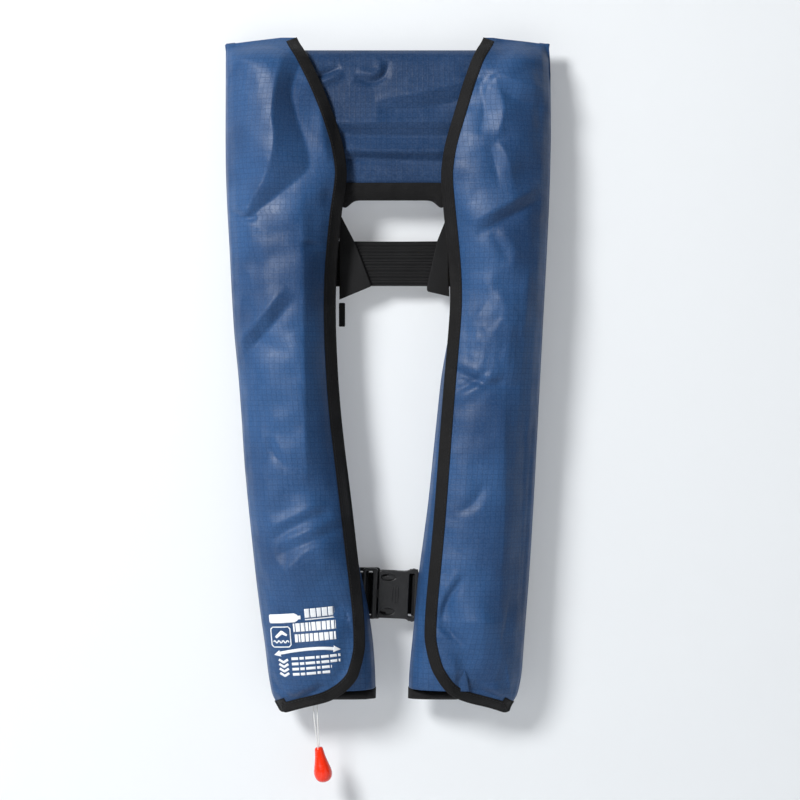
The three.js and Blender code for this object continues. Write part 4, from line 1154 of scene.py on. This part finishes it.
# ---- collar ----
COLLAR_FOLDS = [
    (facet, [(96, 0), (20, 1), (-40, 0), (-84, 6)],
     [(96, -11), (20, -12), (-40, -10), (-84, -4)], 2.2, 10),
    (facet, [(96, -26), (20, -27), (-70, -25)], [(96, -36), (20, -35), (-70, -32)], 2.2, 9),
    (crease, [(-74, 42), (-58, 48), (-44, 54)], 1.8, 3.2, 0.8, -1),
    (crease, [(-30, 44), (-14, 40), (-2, 46), (2, 60)], 1.6, 3.4, 0.8, 1),
    (facet, [(90, 44), (40, 30), (-10, 22)], [(90, 28), (42, 16), (-6, 12)], 1.6, 12),
]


def collar_folds(x, z):
    up = 0.6 * crumple(x, z, 44, 41.0, 0.6) + 0.3 * ridged(x, z, 34, 43.0, 0.5)
    return laid(up, x, z, COLLAR_FOLDS)


def collar_grid(west, east, top, bottom, rows, columns, nodes, lift=0.0):
    x = np.repeat(np.linspace(west, east, columns)[None, :], rows, axis=0)
    z = np.repeat(heights_between(top, bottom, rows)[:, None], columns, axis=1)
    y = np.array([filled(row) for row in ray_depths(nodes, x, z)])
    return x, softened(y, 3, 2) - lift, z


def add_collar(sheets):
    low, high = box("collar_cover")
    nodes = ["collar_cover", "collar_binding"]
    x, y, z = collar_grid(low[0], high[0], high[2] - 0.2, low[2] - 1.5, 110, 130, nodes)
    y = y - collar_folds(x, z) * np.clip((high[2] - z) / 9, 0, 1) * np.clip((z - low[2] - 9) / 12, 0, 1)
    grid = np.stack([x, y, z], axis=2)
    back = grid[0].copy()
    back[:, 1] = -0.9
    back[:, 2] -= 7
    turn = grid[0].copy()
    turn[:, 1] = -1.2
    grid = np.concatenate([[back], [turn], grid])
    # the collar cloth takes the darker collar colours, which are painted shade
    cloth_piece("collar_cloth", "collar_cover", "collar", grid, 1.2)
    low, high = box("collar_binding")
    x, y, z = collar_grid(low[0], high[0], high[2] + 6.0, low[2] + 3.0, 16, 130, nodes, 2.4)
    y = y - 0.5 * crumple(x, z, 12, 47.0)
    corners = [np.interp(-low[2], -s.z, s.other) + 2 * SIDES[side] for side, s in sheets.items()]
    drop = sum(7 * np.exp(-(((x - corner) / 6.5) ** 2)) for corner in corners)
    z = z - drop * np.linspace(0, 1, len(z))[:, None]
    grid = np.stack([x, y, z], axis=2)
    under = grid[-1].copy()
    under[:, 1] = -1.0
    lip = grid[-1].copy()
    lip[:, 1] = (grid[-1][:, 1] - 1.0) / 2
    lip[:, 2] -= 0.8
    grid = np.concatenate([grid, [lip], [under]])
    cloth_piece("collar_tape", "collar_binding", "binding", grid, 1.2, (2, 0))


# ---- back ----
def back_folds(x, z, seed):
    return 0.7 * crumple(x, z, 42, seed, 1.8) + 0.45 * ridged(x, z, 60, seed + 3, 2.2)


UNDER_CORNER = -480  # below this height the corner of the under flap is cut away


def add_back_panel(sheets):
    """Backs of both lobes and the yoke between them, as one piece of cloth."""
    parts = []
    for side, sheet in sheets.items():
        sign = SIDES[side]
        keep = (sheet.z < box("back_panel")[1][2]) & (sheet.z > box("back_panel")[0][2])
        z = sheet.z[keep]
        pieces = [f"under_flap_{side}", f"flap_binding_{side}", f"cover_binding_{side}"]
        under_low, under_high = slices(pieces, z)
        gap = np.where(z < UNDER_CORNER, np.nan, under_high if sign > 0 else under_low)
        gap = smoothed(filled(gap), 5) - sign * 4
        outer = sheet.wall[keep] + sign * 5
        share = np.linspace(0, 1, 40)
        x = outer[:, None] + (gap - outer)[:, None] * share[None, :]
        zz = np.repeat(z[:, None], 40, axis=1)
        y = -0.55 - 0.3 * (np.abs(2 * share - 1) ** 10)[None, :] - np.abs(back_folds(x, zz, 51.0 + sign))
        grid = np.stack([x, y, zz], axis=2)
        parts.append(grid_object(f"back_{side}", grid, grid[:, :, [0, 2]], flip=sign < 0))
    foot = box("collar_binding")[0][2] + 6
    x = np.repeat(np.linspace(-96, 102, 80)[None, :], 60, axis=0)
    z = np.repeat(np.linspace(box("collar_cover")[1][2] - 3, foot, 60)[:, None], 80, axis=1)
    y = -0.7 - np.abs(back_folds(x, z, 57.0))
    grid = np.stack([x, y, z], axis=2)
    parts.append(grid_object("back_yoke", grid, grid[:, :, [0, 2]]))
    obj = joined("back_cloth", parts)
    thicken(obj, 1.0, offset=0)
    stand_for(obj, "cover", "back_panel")


# ---- what the cover holds ----
def add_bladder():
    """The folded yellow bladder: the CAD's soft body remeshed, drawn in and creased."""
    source = frame["nodes"]["bladder"]
    obj = placed("bladder_cloth", source.data.copy())
    remesh = obj.modifiers.new("even", "REMESH")
    remesh.mode = "VOXEL"
    remesh.voxel_size = 5 * MM
    soften = obj.modifiers.new("soften", "SMOOTH")
    soften.factor = 0.5
    soften.iterations = 6
    bake(obj)
    finer = obj.modifiers.new("finer", "SUBSURF")
    finer.levels = 1
    bake(obj)
    mesh = obj.data
    count = len(mesh.vertices)
    spots, normals = np.zeros(count * 3), np.zeros(count * 3)
    mesh.vertices.foreach_get("co", spots)
    mesh.vertex_normals.foreach_get("vector", normals)
    spots, normals = spots.reshape(-1, 3) / MM, normals.reshape(-1, 3)
    for i, spot in enumerate(spots):
        here = Vector(spot)
        drawn = 2.6 if spot[1] < -9 else 0.6
        soft = 1.2 * noise.noise(here / 22)
        sharp = 1.8 * max(0.0, 0.35 - abs(noise.noise(here / 34)))
        spots[i] -= normals[i] * max(drawn + soft + sharp, 0.2)
    mesh.vertices.foreach_set("co", (spots * MM).ravel())
    mesh.update()
    mesh.shade_smooth()
    stand_for(obj, "bladder", "bladder")


def cloth_patch(name, node, look, thickness, lift=0.0, seed=60.0, behind=None):
    """A sewn-on patch that follows the front of its CAD node, or lies at a depth behind a sheet."""
    low, high = box(node)
    rows = max(6, int((high[2] - low[2]) / 1.5))
    columns = max(6, int((high[0] - low[0]) / 1.5))
    z = np.linspace(high[2] - 0.1, low[2] + 0.1, rows)
    west, east = slices([node], z)
    share = np.linspace(0, 1, columns)
    x = filled(west)[:, None] + (filled(east) - filled(west))[:, None] * share[None, :]
    zz = np.repeat(z[:, None], columns, axis=1)
    y = np.array([filled(row) for row in ray_depths([node], x, zz)])
    y = softened(y, 2, 2) - lift - 0.2 * crumple(x, zz, 14, seed)
    if behind is not None:
        y = behind[0].at(x, zz) + behind[1]
    grid = np.stack([x, y, zz], axis=2)
    return cloth_piece(name, node, look, grid, thickness)


def add_closures(side, sheet):
    cloth_patch(f"hook_{side}", f"hook_tape_{side}", "closure", 0.9, behind=(sheet, 1.3))
    cloth_patch(f"loop_{side}", f"loop_tape_{side}", "closure", 0.8, behind=(sheet, 2.5))
    cloth_patch(f"reflective_{side}", f"reflective_tape_{side}", "reflective", 0.5, 0.2, seed=63)


# ---- webbing ----
STRAP_EDGE_ROLL = 0.35  # how far in from its edge a strap starts to round off


def band(name, path, z_middle, width, thickness):
    """A flat strap standing on edge: path in x and y, with rounded edges."""
    corners = np.array(path, float)
    along = lengths_along(corners)
    even = np.unique(np.concatenate([np.arange(0, along[-1], 1.6), [along[-1]]]))
    line = sampled(corners, even)
    tangent = directions_along(line)
    normal = np.stack([-tangent[:, 1], tangent[:, 0]], axis=1)
    half, roll = thickness / 2, STRAP_EDGE_ROLL
    w = width / 2
    section = [(-w + roll, half), (-w * 0.5, half), (0, half), (w * 0.5, half), (w - roll, half),
               (w, half * 0.4), (w, -half * 0.4), (w - roll, -half), (w * 0.5, -half), (0, -half),
               (-w * 0.5, -half), (-w + roll, -half), (-w, -half * 0.4), (-w, half * 0.4)]
    grid = np.zeros((len(line), len(section), 3))
    uv = np.zeros((len(line), len(section), 2))
    for j, (z, offset) in enumerate(section):
        grid[:, j, 0] = line[:, 0] + normal[:, 0] * offset
        grid[:, j, 1] = line[:, 1] + normal[:, 1] * offset
        grid[:, j, 2] = z_middle + z
        uv[:, j, 0] = z
        uv[:, j, 1] = even
    return outward(grid_object(name, grid, uv, closed=True))


def arc(x, y, radius, start, end, steps=14):
    turn = [math.radians(start + (end - start) * i / steps) for i in range(steps + 1)]
    return [(x + radius * math.cos(a), y + radius * math.sin(a)) for a in turn]


BELT_Z = middle("waist_belt")[2]
BELT_WIDTH = 40.0
BELT_THICK = 1.5
BUCKLE = middle("buckle_female")
BELT_FRONT_Y = BUCKLE[1]
BELT_BACK_Y = box("waist_belt")[1][1] - 0.8
BUCKLE_TILT = math.asin(-joint_named("buckle_release")["axis"][2])
BUCKLE_CENTRE = Vector((3.35, BELT_FRONT_Y, BELT_Z))
MALE_BAR_X, FEMALE_BAR_X = -22.0, 28.6
RUN_END_X = 78  # where the front run of the belt goes into the right tunnel


def tilted(obj):
    """Turns a piece drawn square to the frame by the tilt of the buckle."""
    centre = BUCKLE_CENTRE * MM
    turn = Matrix.Translation(centre) @ Matrix.Rotation(BUCKLE_TILT, 4, "Y") @ Matrix.Translation(-centre)
    obj.data.transform(turn)
    return obj


def bar_loop(x, sign, radius, reach=26):
    """The strap doubled round a buckle bar; sign is the side on which it leaves."""
    lift = 0.78
    away = 0 if sign > 0 else 180
    turn = arc(x, BELT_FRONT_Y, radius, away + 63, away + 297)
    ends = [(x + sign * reach, BELT_FRONT_Y + sign * lift), (x + sign * 8, BELT_FRONT_Y + sign * lift)]
    back = [(x + sign * 8, BELT_FRONT_Y - sign * lift), (x + sign * reach, BELT_FRONT_Y - sign * lift)]
    return [*ends, *turn, *back]


def add_belt():
    low, high = box("waist_belt")
    fold_y = (BELT_BACK_Y + BELT_FRONT_Y) / 2
    radius = (BELT_BACK_Y - BELT_FRONT_Y) / 2
    west, east = low[0] + radius + 0.8, high[0] - radius - 0.8
    path = [
        (MALE_BAR_X - 12, BELT_FRONT_Y), *arc(west, fold_y, radius, -90, -270), (0, BELT_BACK_Y),
        *arc(east, fold_y, radius, 90, -90), (east - 8, BELT_FRONT_Y),
    ]
    run = band("run", path, BELT_Z, BELT_WIDTH, BELT_THICK)
    loop = band("loop", bar_loop(MALE_BAR_X, -1, 3.9), BELT_Z, BELT_WIDTH, 1.4)
    stand_for(joined("belt", [run, loop]), "belt", "waist_belt")
    path = [(FEMALE_BAR_X + 10, BELT_FRONT_Y), (RUN_END_X, BELT_FRONT_Y)]
    run = band("run", path, BELT_Z, BELT_WIDTH, BELT_THICK)
    loop = band("loop", bar_loop(FEMALE_BAR_X, 1, 3.5), BELT_Z, BELT_WIDTH, 1.4)
    stand_for(tilted(joined("belt_end", [run, loop])), "belt", "belt_end_right")


def add_belt_tail():
    low, high = box("belt_tail")
    frame_low, frame_high = box("belt_adjuster")
    centre = middle("belt_adjuster")[0]
    inner, outer = low[1] + 0.8, high[1] - 0.8
    path = [
        (low[0], inner), (centre - 9, inner), (centre - 6.4, inner + 1.4), (centre - 5.0, outer - 1.0),
        (centre - 3.4, outer), (centre + 3.4, outer), (centre + 5.0, outer - 1.0),
        (centre + 6.4, inner + 1.4), (centre + 8.0, inner),
    ]
    stand_for(band("belt_tail_web", path, BELT_Z, BELT_WIDTH, BELT_THICK), "belt", "belt_tail")
    x0, x1, z0, z1 = frame_low[0], frame_high[0], frame_low[2], frame_high[2]
    slots = [centre - 6.2, centre + 6.2]
    holes = [rounded(slot - 3.6, z0 + 3.5, slot + 3.6, z1 - 3.5, 1.4) for slot in slots]
    obj = plate("adjuster", [rounded(x0, z0, x1, z1, 3.2), *holes], frame_low[1], frame_high[1], 0.8)
    stand_for(obj, "buckle", "belt_adjuster")


def add_tunnel(side):
    """A cloth sleeve sewn along its top and bottom, filled out by the belt inside it."""
    low, high = box(f"belt_tunnel_{side}")
    depth = high[1] - low[1]
    z_mid = (low[2] + high[2]) / 2
    x = np.arange(low[0], high[0] + 0.1, 2.0)
    turn = np.linspace(0, 2 * math.pi, 72, endpoint=False)
    half = (high[2] - low[2]) / 2
    grid = np.zeros((len(x), len(turn), 3))
    for j, angle in enumerate(turn):
        across = math.cos(angle)
        swell = (1 - abs(across) ** 7) ** (1 / 2.2) if abs(across) < 1 else 0.0
        back = math.sin(angle) > 0
        zz = z_mid + across * (half - 0.5)
        y = low[1] + 0.9 + (swell * (depth - 1.0) if back else 0.0)
        wobble = 0.35 * crumple(x, np.full(x.shape, zz), 18, 71.0 + back)
        grid[:, j, 0] = x
        grid[:, j, 1] = np.maximum(y + (wobble if back else 0.0) * swell, low[1] + 0.8)
        grid[:, j, 2] = zz + 0.25 * np.sin(x / 7.0) * across
    uv = grid[:, :, [0, 2]]
    obj = grid_object(f"tunnel_{side}", grid, uv, closed=True, flip=True)
    thicken(obj, 0.9)
    stand_for(obj, "cover", f"belt_tunnel_{side}")
    for z in (low[2] + 3, high[2] - 3):
        even = np.arange(low[0] + 3, high[0] - 2, STITCH_PITCH)
        places = [np.array([px, low[1] + 4.4, z]) for px in even]
        seam = "low" if z < z_mid else "high"
        row = stitches(f"tunnel_stitches_{side}_{seam}", places, [np.array([1.0, 0, 0])] * len(places))
        sewn_to(row, "blue_thread", "jacket")


def add_yoke_strap():
    """The ribbed elastic across the gap, its sewn-on end patches and the small harness tab."""
    low, high = box("yoke_strap")
    x = np.linspace(low[0], high[0], 130)
    z = np.linspace(high[2], low[2], 150)
    xx, zz = np.meshgrid(x, z)
    ribs = 0.38 * np.cos(2 * math.pi * zz / 3.1) + 0.1 * crumple(xx, zz, 20, 81.0)
    narrow = 1 - 0.03 * np.sin(math.pi * (xx - low[0]) / (high[0] - low[0]))
    z_mid = (low[2] + high[2]) / 2
    grid = np.stack([xx, low[1] + 0.5 - ribs, z_mid + (zz - z_mid) * narrow], axis=2)
    cloth_piece("yoke_web", "yoke_strap", "elastic", grid, 1.6, (2, 0))
    cloth_patch("yoke_patch_left", "strap_patch_left", "patch", 1.3, 0.3, 82.0)
    cloth_patch("yoke_patch_right", "strap_patch_right", "patch", 1.3, 0.3, 83.0)
    low, high = box("harness_tab")
    tab = rounded(low[0], low[2], high[0], high[2], 1.0)
    stand_for(plate("tab", [tab], low[1], high[1], 0.5), "patch", "harness_tab")


# ---- side-release buckle ----
def buckle_edges(west, east, half, flare):
    """Outline of the female half: flared at the end that holds its strap."""
    wide = half + flare
    right = [(east - 14, -half), (east - 11, -half - 0.3), (east - 8, -half - 1.4), (east - 5, -wide)]
    corner = [(east - 2.2, -wide + 0.6), (east - 0.6, -wide + 2.2), (east, -wide + 4)]
    lower = [(west, -half + 2.4), (west + 0.7, -half + 0.7), (west + 2.4, -half), *right, *corner]
    return lower + [(x, -z) for x, z in reversed(lower)]


def buckle_plate(name, outlines, front, back, edge):
    """A plate of the buckle, with its outlines and depths given from the buckle's centre."""
    x, y, z = BUCKLE_CENTRE
    moved = [[(px + x, pz + z) for px, pz in outline] for outline in outlines]
    return plate(name, moved, y + front, y + back, edge)


def add_buckle():
    cx = BUCKLE_CENTRE[0]
    west, east = -8 - cx, 30.3 - cx
    slot = rounded(east - 8.9, -21, east - 3.4, 21, 1.5)
    windows = [oval(west + 9, s * 16.5, 7, 3.2) for s in (1, -1)]
    border = buckle_edges(west, east, 23, 2.5)
    faces = []
    faces.append(buckle_plate("face", (border, slot, *windows), -5.5, -3.5, 0.7))
    faces.append(buckle_plate("rear", (border, slot), 3.5, 5.5, 0.7))
    for sign in (1, -1):
        z = sorted((sign * 20.8, sign * 22.9))
        for x0, x1 in ((west + 0.4, west + 4.0), (west + 17.0, east - 9.2)):
            rail = rounded(x0, z[0], x1, z[1], 0.5)
            faces.append(buckle_plate("rail", [rail], -4.4, 4.4, 0.3))
        end = sorted((sign * 20.8, sign * 25))
        rail = rounded(east - 9.2, end[0], east - 0.6, end[1], 1.2)
        faces.append(buckle_plate("end", [rail], -4.4, 4.4, 0.4))
    web = rounded(west + 23.5, -21.5, east - 9.0, 21.5, 0.5)
    faces.append(buckle_plate("web", [web], -4.4, 4.4, 0.3))
    grip = [rounded(west + 13 + 2.6 * k, -8, west + 14.2 + 2.6 * k, 8, 0.5) for k in range(3)]
    faces += [buckle_plate("grip", [g], -5.9, -5.2, 0.25) for g in grip]
    stand_for(tilted(joined("buckle_socket", faces)), "buckle", "buckle_female")
    west = -23.6 - cx
    parts = []
    body = rounded(west, -24.5, west + 14.6, 24.5, 3.2)
    hole = rounded(west + 3.2, -22, west + 9.4, 22, 1.2)
    parts.append(buckle_plate("body", (body, hole), -4.6, 4.6, 1.1))
    guide = rounded(west + 13, -3.5, -8 - cx + 20, 3.5, 1.2)
    parts.append(buckle_plate("guide", [guide], -2.8, 2.8, 0.6))
    stand_for(tilted(joined("buckle_plug", parts)), "buckle", "buckle_male")
    for end, sign in (("upper", 1), ("lower", -1)):
        tip = [(18, -1), (18.3, 1.2), (17, 3.4), (14, 5.2), (11.4, 6.8), (8.6, 7.1), (6.4, 6.2), (5, 2.2)]
        outline = [(-1.6, -1.4), (0, -2), (14, -1), *tip, (0, 2), (-1.6, 1.4)]
        outline = [(px - 8 - cx + 2.4, sign * (pz + 15)) for px, pz in outline]
        obj = buckle_plate(f"prong_{end}", [outline], -2.8, 2.8, 0.5)
        stand_for(tilted(obj), "buckle", f"buckle_prong_{end}")


# ---- inflator, cylinder and pull cord ----
def rebuilt(name, node, look, width=0.5, segments=3):
    """A moulded CAD node copied, its sharp edges rounded."""
    source = frame["nodes"][node]
    obj = placed(name, source.data.copy())
    bm = bmesh.new()
    bm.from_mesh(obj.data)
    bmesh.ops.remove_doubles(bm, verts=bm.verts, dist=0.01 * MM)
    flat = [e for e in bm.edges if len(e.link_faces) == 2 and e.calc_face_angle(0) < math.radians(1)]
    bmesh.ops.dissolve_edges(bm, edges=flat, use_verts=False)
    bm.to_mesh(obj.data)
    bm.free()
    bevel(obj, width, segments)
    crisp(obj, 50)
    return stand_for(obj, look, node)


def turned(name, node, look, profile, centre, axis="Z", sides=48):
    """A turned piece in place of its CAD node."""
    return stand_for(outward(lathe(name, profile, centre, axis, sides)), look, node)


def add_spring(name, node, radius, wire, turns):
    """A coil of wire along z, in place of its CAD node."""
    low, high = box(node)
    x, y, _ = middle(node)
    points = []
    for i in range(turns * 12 + 1):
        angle = 2 * math.pi * i / 12
        z = low[2] + wire + (high[2] - low[2] - 2 * wire) * i / (turns * 12)
        points.append((x + radius * math.cos(angle), y + radius * math.sin(angle), z))
    obj = stand_for(tube(name, points, wire, turns * 36, 8), "steel", node)
    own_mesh(obj)


def add_inflator():
    rebuilt("inflator_block", "inflator_body", "inflator", 0.6)
    rebuilt("lever_arm", "firing_lever", "lever", 0.5)
    rebuilt("ready_clip", "indicator_clip", "clip", 0.5)
    rebuilt("nut", "cap_nut", "brass", 0.5)
    low, high = box("inflation_manifold")
    x, _, z = middle("inflation_manifold")
    front, back = low[1], high[1]
    profile = [(0, back), (12.4, back), (13, back - 0.5), (13, back - 1.2), (12.4, back - 1.6),
               (6, back - 1.6), (4.4, back - 2.4), (4.0, back - 3.2), (4.0, front + 0.6), (3.4, front),
               (0, front)]
    turned("manifold", "inflation_manifold", "brass", profile, (x, 0, z), "Y")
    for node in ("gasket_rear", "gasket_front"):
        low, high = box(node)
        x, y, z = middle(node)
        half = (high[1] - low[1]) / 2
        ring = [(4.4, -half), (6.6, -half), (7.0, -half * 0.4), (7.0, half * 0.4), (6.6, half), (4.4, half),
                (4.4, -half)]
        turned(f"{node}_ring", node, "gasket", ring, (x, y, z), "Y")
    low, high = box("lever_pivot_pin")
    x, y, z = middle("lever_pivot_pin")
    half = (high[1] - low[1]) / 2
    profile = [(0, -half), (1.2, -half), (1.5, -half + 0.3), (1.5, half - 0.3), (1.2, half), (0, half)]
    turned("pivot", "lever_pivot_pin", "steel", profile, (x, y, z), "Y", 24)
    low, high = box("piercing_pin")
    x, y, _ = middle("piercing_pin")
    profile = [(0, low[2]), (2.5, low[2]), (2.8, low[2] + 0.3), (2.8, low[2] + 1.3), (2.5, low[2] + 1.6),
               (1.4, low[2] + 1.8), (1.4, high[2] - 3), (0.1, high[2])]
    turned("pin", "piercing_pin", "steel", profile, (x, y, 0), "Z", 24)
    add_spring("pin_spring", "piercing_spring", 2.3, 0.4, 4)


def add_cylinder():
    low, high = box("co2_cylinder")
    x, y, _ = middle("co2_cylinder")
    radius = (high[0] - low[0]) / 2
    foot, top = low[2], high[2]
    profile = [(0, foot), (6.0, foot), (6.3, foot + 0.4)]
    for k in range(9):
        z = foot + 1.4 + 1.5 * k
        profile += [(6.3, z), (5.8, z + 0.75)]
    neck = foot + 15.6
    profile += [(6.3, neck)]
    for degrees in range(10, 91, 8):
        widening = math.sin(math.radians(degrees)) ** 1.5
        profile.append((6.3 + (radius - 6.3) * widening, neck + 14.6 * (degrees / 90)))
    for degrees in range(0, 91, 7):
        angle = math.radians(degrees)
        profile.append((radius * math.cos(angle), top - 14 + 14 * math.sin(angle)))
    turned("cylinder", "co2_cylinder", "steel", profile, (x, y, 0), "Z", 64)


TOGGLE_TOP = (-65.2, -12.0, -598.0)


def add_pull():
    top = box("pull_toggle")[1]
    joint = joint_named("cord_hang")
    x, y, z = np.array(joint["pos_m"]) / MM
    knot = (*TOGGLE_TOP[:2], top[2] + 0.5)
    parts = []
    for side in (-1, 1):
        path = [
            (x, y - 4.6, z), (x, y, z), (x, -18.8, z - 1), (x + 0.2 * side, -16.4, z - 6),
            (x + 1.3 * side, -16.2, z - 24), (x + 1.7 * side, -15.6, -560),
            (x + 1.2 + 1.3 * side, -13.4, -580),
            (knot[0] + 0.5 * side, knot[1], knot[2] - 2),
        ]
        parts.append(tube("strand", path, 0.6, 150, 10, 3, 0.12))
    stand_for(joined("cord", parts), "cord", "pull_cord")
    profile = [(0, -34.0), (2.2, -33.8), (4.6, -33.0), (6.4, -31.6), (7.7, -29.6), (8.5, -27.0),
               (8.7, -24.6), (8.3, -21.6), (7.4, -18), (6.3, -14), (5.3, -10), (4.6, -6), (4.2, -3),
               (3.9, -1.2), (3.3, -0.2), (2.4, 0), (1.3, -0.3), (1.2, -3), (0, -3)]
    knob = outward(lathe("toggle", profile, TOGGLE_TOP, "Z", 56, math.radians(-10)))
    knob.name = "toggle_knob"
    stand_for(knob, "toggle", "pull_toggle")


# ---- oral tube, valve and whistle ----
def add_oral_tube():
    low, high = box("oral_tube")
    x, y, _ = middle("oral_valve_body")
    top, foot = high[2], low[2] + 15
    back = high[1]
    path = [(x, back - 1, foot), (x, back - 4, foot), (x, y + 2, foot + 4), (x, y, foot + 16),
            (x, y, top - 60), (x, y, top)]
    pipe = tube("pipe", path, 7.0, 130, 32)
    disc = [(0, -1.5), (14.4, -1.5), (15, -1.0), (15, -0.4), (14.4, 0), (0, 0)]
    flange = lathe("flange", disc, (x, back, foot), "Y", 48)
    cuff = lathe("cuff", [(7.0, 0), (7.9, 0.6), (7.9, 6.4), (7.0, 7)], (x, y, top - 9), "Z", 40)
    stand_for(joined("oral_pipe", [pipe, outward(flange), outward(cuff)]), "tube", "oral_tube")
    body = [(3, -11), (5, -11), (5.1, 0.3), (8.4, 0.4), (9, 1.0), (9, 6), (8.6, 6.4), (8.6, 8), (9, 8.4),
            (9, 26.5), (8.6, 27), (6.8, 27), (6.6, 26.6), (6.6, 9), (3, 7), (3, -11)]
    turned("valve_body", "oral_valve_body", "valve", body, (x, y, top), "Z", 48)
    poppet = [(0, 10), (1.2, 10), (1.2, 20), (5.5, 20), (5.8, 20.4), (5.8, 22.1), (5.4, 22.5),
              (2.2, 22.6), (2.2, 24.6), (1.8, 25), (0, 25)]
    turned("poppet", "valve_poppet", "valve", poppet, (x, y, top), "Z", 40)
    add_spring("poppet_spring", "valve_spring", 4.4, 0.45, 3)
    cap = [(9.4, 12), (10.5, 12), (10.8, 12.4), (10.8, 28.6), (10.4, 29.8), (9.2, 30.5), (0, 30.5),
           (0, 28.8), (9.2, 28.8), (9.4, 28.4), (9.4, 12)]
    turned("dust_cap", "oral_dust_cap", "cap", cap, (x, y, top), "Z", 48)


def add_whistle():
    rebuilt("whistle_body", "whistle", "whistle", 0.7)
    x, y, _ = middle("oral_valve_body")
    joint = joint_named("whistle_swing")
    wx, _, wz = np.array(joint["pos_m"]) / MM
    turn = np.linspace(0.2, 2 * math.pi - 0.05, 40)
    ring = [(x + 8.6 * math.cos(a), y + 8.6 * math.sin(a), wz) for a in turn]
    loop = tube("loop", ring, 1.0, 110, 10, 3, 0.2)
    path = [(x + 8.8, y, wz), (x + 12.8, y - 5, wz + 3.2), (wx - 5, y - 8.3, wz + 2.4), (wx, y - 7.2, wz),
            (wx, y, wz), (wx, y + 7.4, wz)]
    strand = tube("strand", path, 1.0, 100, 10, 3, 0.2)
    stand_for(joined("whistle_string", [loop, strand]), "cord", "whistle_cord")


# ---- floor, backdrop, light and camera ----
WALL_Y = 24.0  # the jacket hangs just in front of a pale wall
WALL_HALF_WIDTH = 1500
WALL_TOP = 1400
FLOOR_Z = -665.0
FLOOR_HALF = 2500
CAMERA_PLACE = (13.0, -2145.0, -264.8)


def pale(name, color, see_through_back=False, glow=0.0):
    material = bpy.data.materials.new(name)
    material.use_nodes = True
    tree = material.node_tree
    shader = tree.nodes["Principled BSDF"]
    shader.inputs["Base Color"].default_value = (*color, 1.0)
    shader.inputs["Roughness"].default_value = 0.85
    shader.inputs["Emission Color"].default_value = (0.95, 0.97, 1.0, 1.0)
    shader.inputs["Emission Strength"].default_value = glow
    if see_through_back:
        behind = shader_node(tree, "ShaderNodeNewGeometry").outputs["Backfacing"]
        clear = shader_node(tree, "ShaderNodeBsdfTransparent").outputs[0]
        blend = tree.nodes.new("ShaderNodeMixShader")
        tree.links.new(behind, blend.inputs[0])
        tree.links.new(shader.outputs[0], blend.inputs[1])
        tree.links.new(clear, blend.inputs[2])
        tree.links.new(blend.outputs[0], tree.nodes["Material Output"].inputs["Surface"])
    return material


def add_stage():
    rises = [(-1, FLOOR_Z), (1, FLOOR_Z), (1, WALL_TOP), (-1, WALL_TOP)]
    wall = mesh_object("wall", [(side * WALL_HALF_WIDTH, WALL_Y, z) for side, z in rises], [[0, 1, 2, 3]])
    wall.data.materials.append(pale("wall_paint", (0.585, 0.605, 0.62), see_through_back=True, glow=0.22))
    spread = [(-1, -1), (1, -1), (1, 1), (-1, 1)]
    corners = [(a * FLOOR_HALF, b * FLOOR_HALF, FLOOR_Z) for a, b in spread]
    floor = mesh_object("floor", corners, [[0, 1, 2, 3]])
    floor.data.materials.append(pale("floor_paint", (0.57, 0.585, 0.6), glow=0.2))


def area_light(name, place, target, size, power, color=(1, 1, 1)):
    data = bpy.data.lights.new(name, "AREA")
    data.shape = "DISK"
    data.size = size * MM
    data.energy = power
    data.color = color
    obj = placed(name, data)
    obj.location = Vector(place) * MM
    obj.rotation_euler = (Vector(target) - Vector(place)).to_track_quat("-Z", "Y").to_euler()
    return obj


def add_lights():
    target = (0, 0, -260)
    area_light("key", (-1520, -1980, 980), target, 820, 90)
    area_light("fill", (1700, -2000, -300), target, 1600, 3)
    area_light("rear", (600, 2200, 700), target, 1400, 50)
    world = bpy.data.worlds.new("studio")
    bpy.context.scene.world = world
    world.use_nodes = True
    sky = world.node_tree.nodes["Background"]
    sky.inputs[0].default_value = (0.93, 0.96, 1.0, 1.0)
    sky.inputs[1].default_value = 0.13


def add_camera():
    data = bpy.data.cameras.new("camera")
    data.lens = 100
    data.sensor_width = 36
    data.clip_end = 50
    camera = placed("camera", data)
    camera.location = Vector(CAMERA_PLACE) * MM
    camera.rotation_euler = (math.radians(90), 0, 0)
    bpy.context.scene.camera = camera
    bpy.context.scene.view_settings.view_transform = "Standard"


front = {
    "left": front_sheet("left", lobe_folds(LEFT_FOLDS, 60, 2.6, 44, 1.0)),
    "right": front_sheet("right", lobe_folds(RIGHT_FOLDS, 56, 2.4, 40, 11.0)),
}
for side, sheet in front.items():
    add_front_shell(side, sheet)
    add_edge_tape(side, sheet)
    add_edge_stitches(side, sheet)
    add_under_flap(side)
    add_closures(side, sheet)
    add_tunnel(side)
add_print(front["left"])
add_collar(front)
add_back_panel(front)
add_bladder()
add_belt()
add_belt_tail()
add_yoke_strap()
add_buckle()
add_inflator()
add_cylinder()
add_pull()
add_oral_tube()
add_whistle()
add_stage()
add_lights()
add_camera()

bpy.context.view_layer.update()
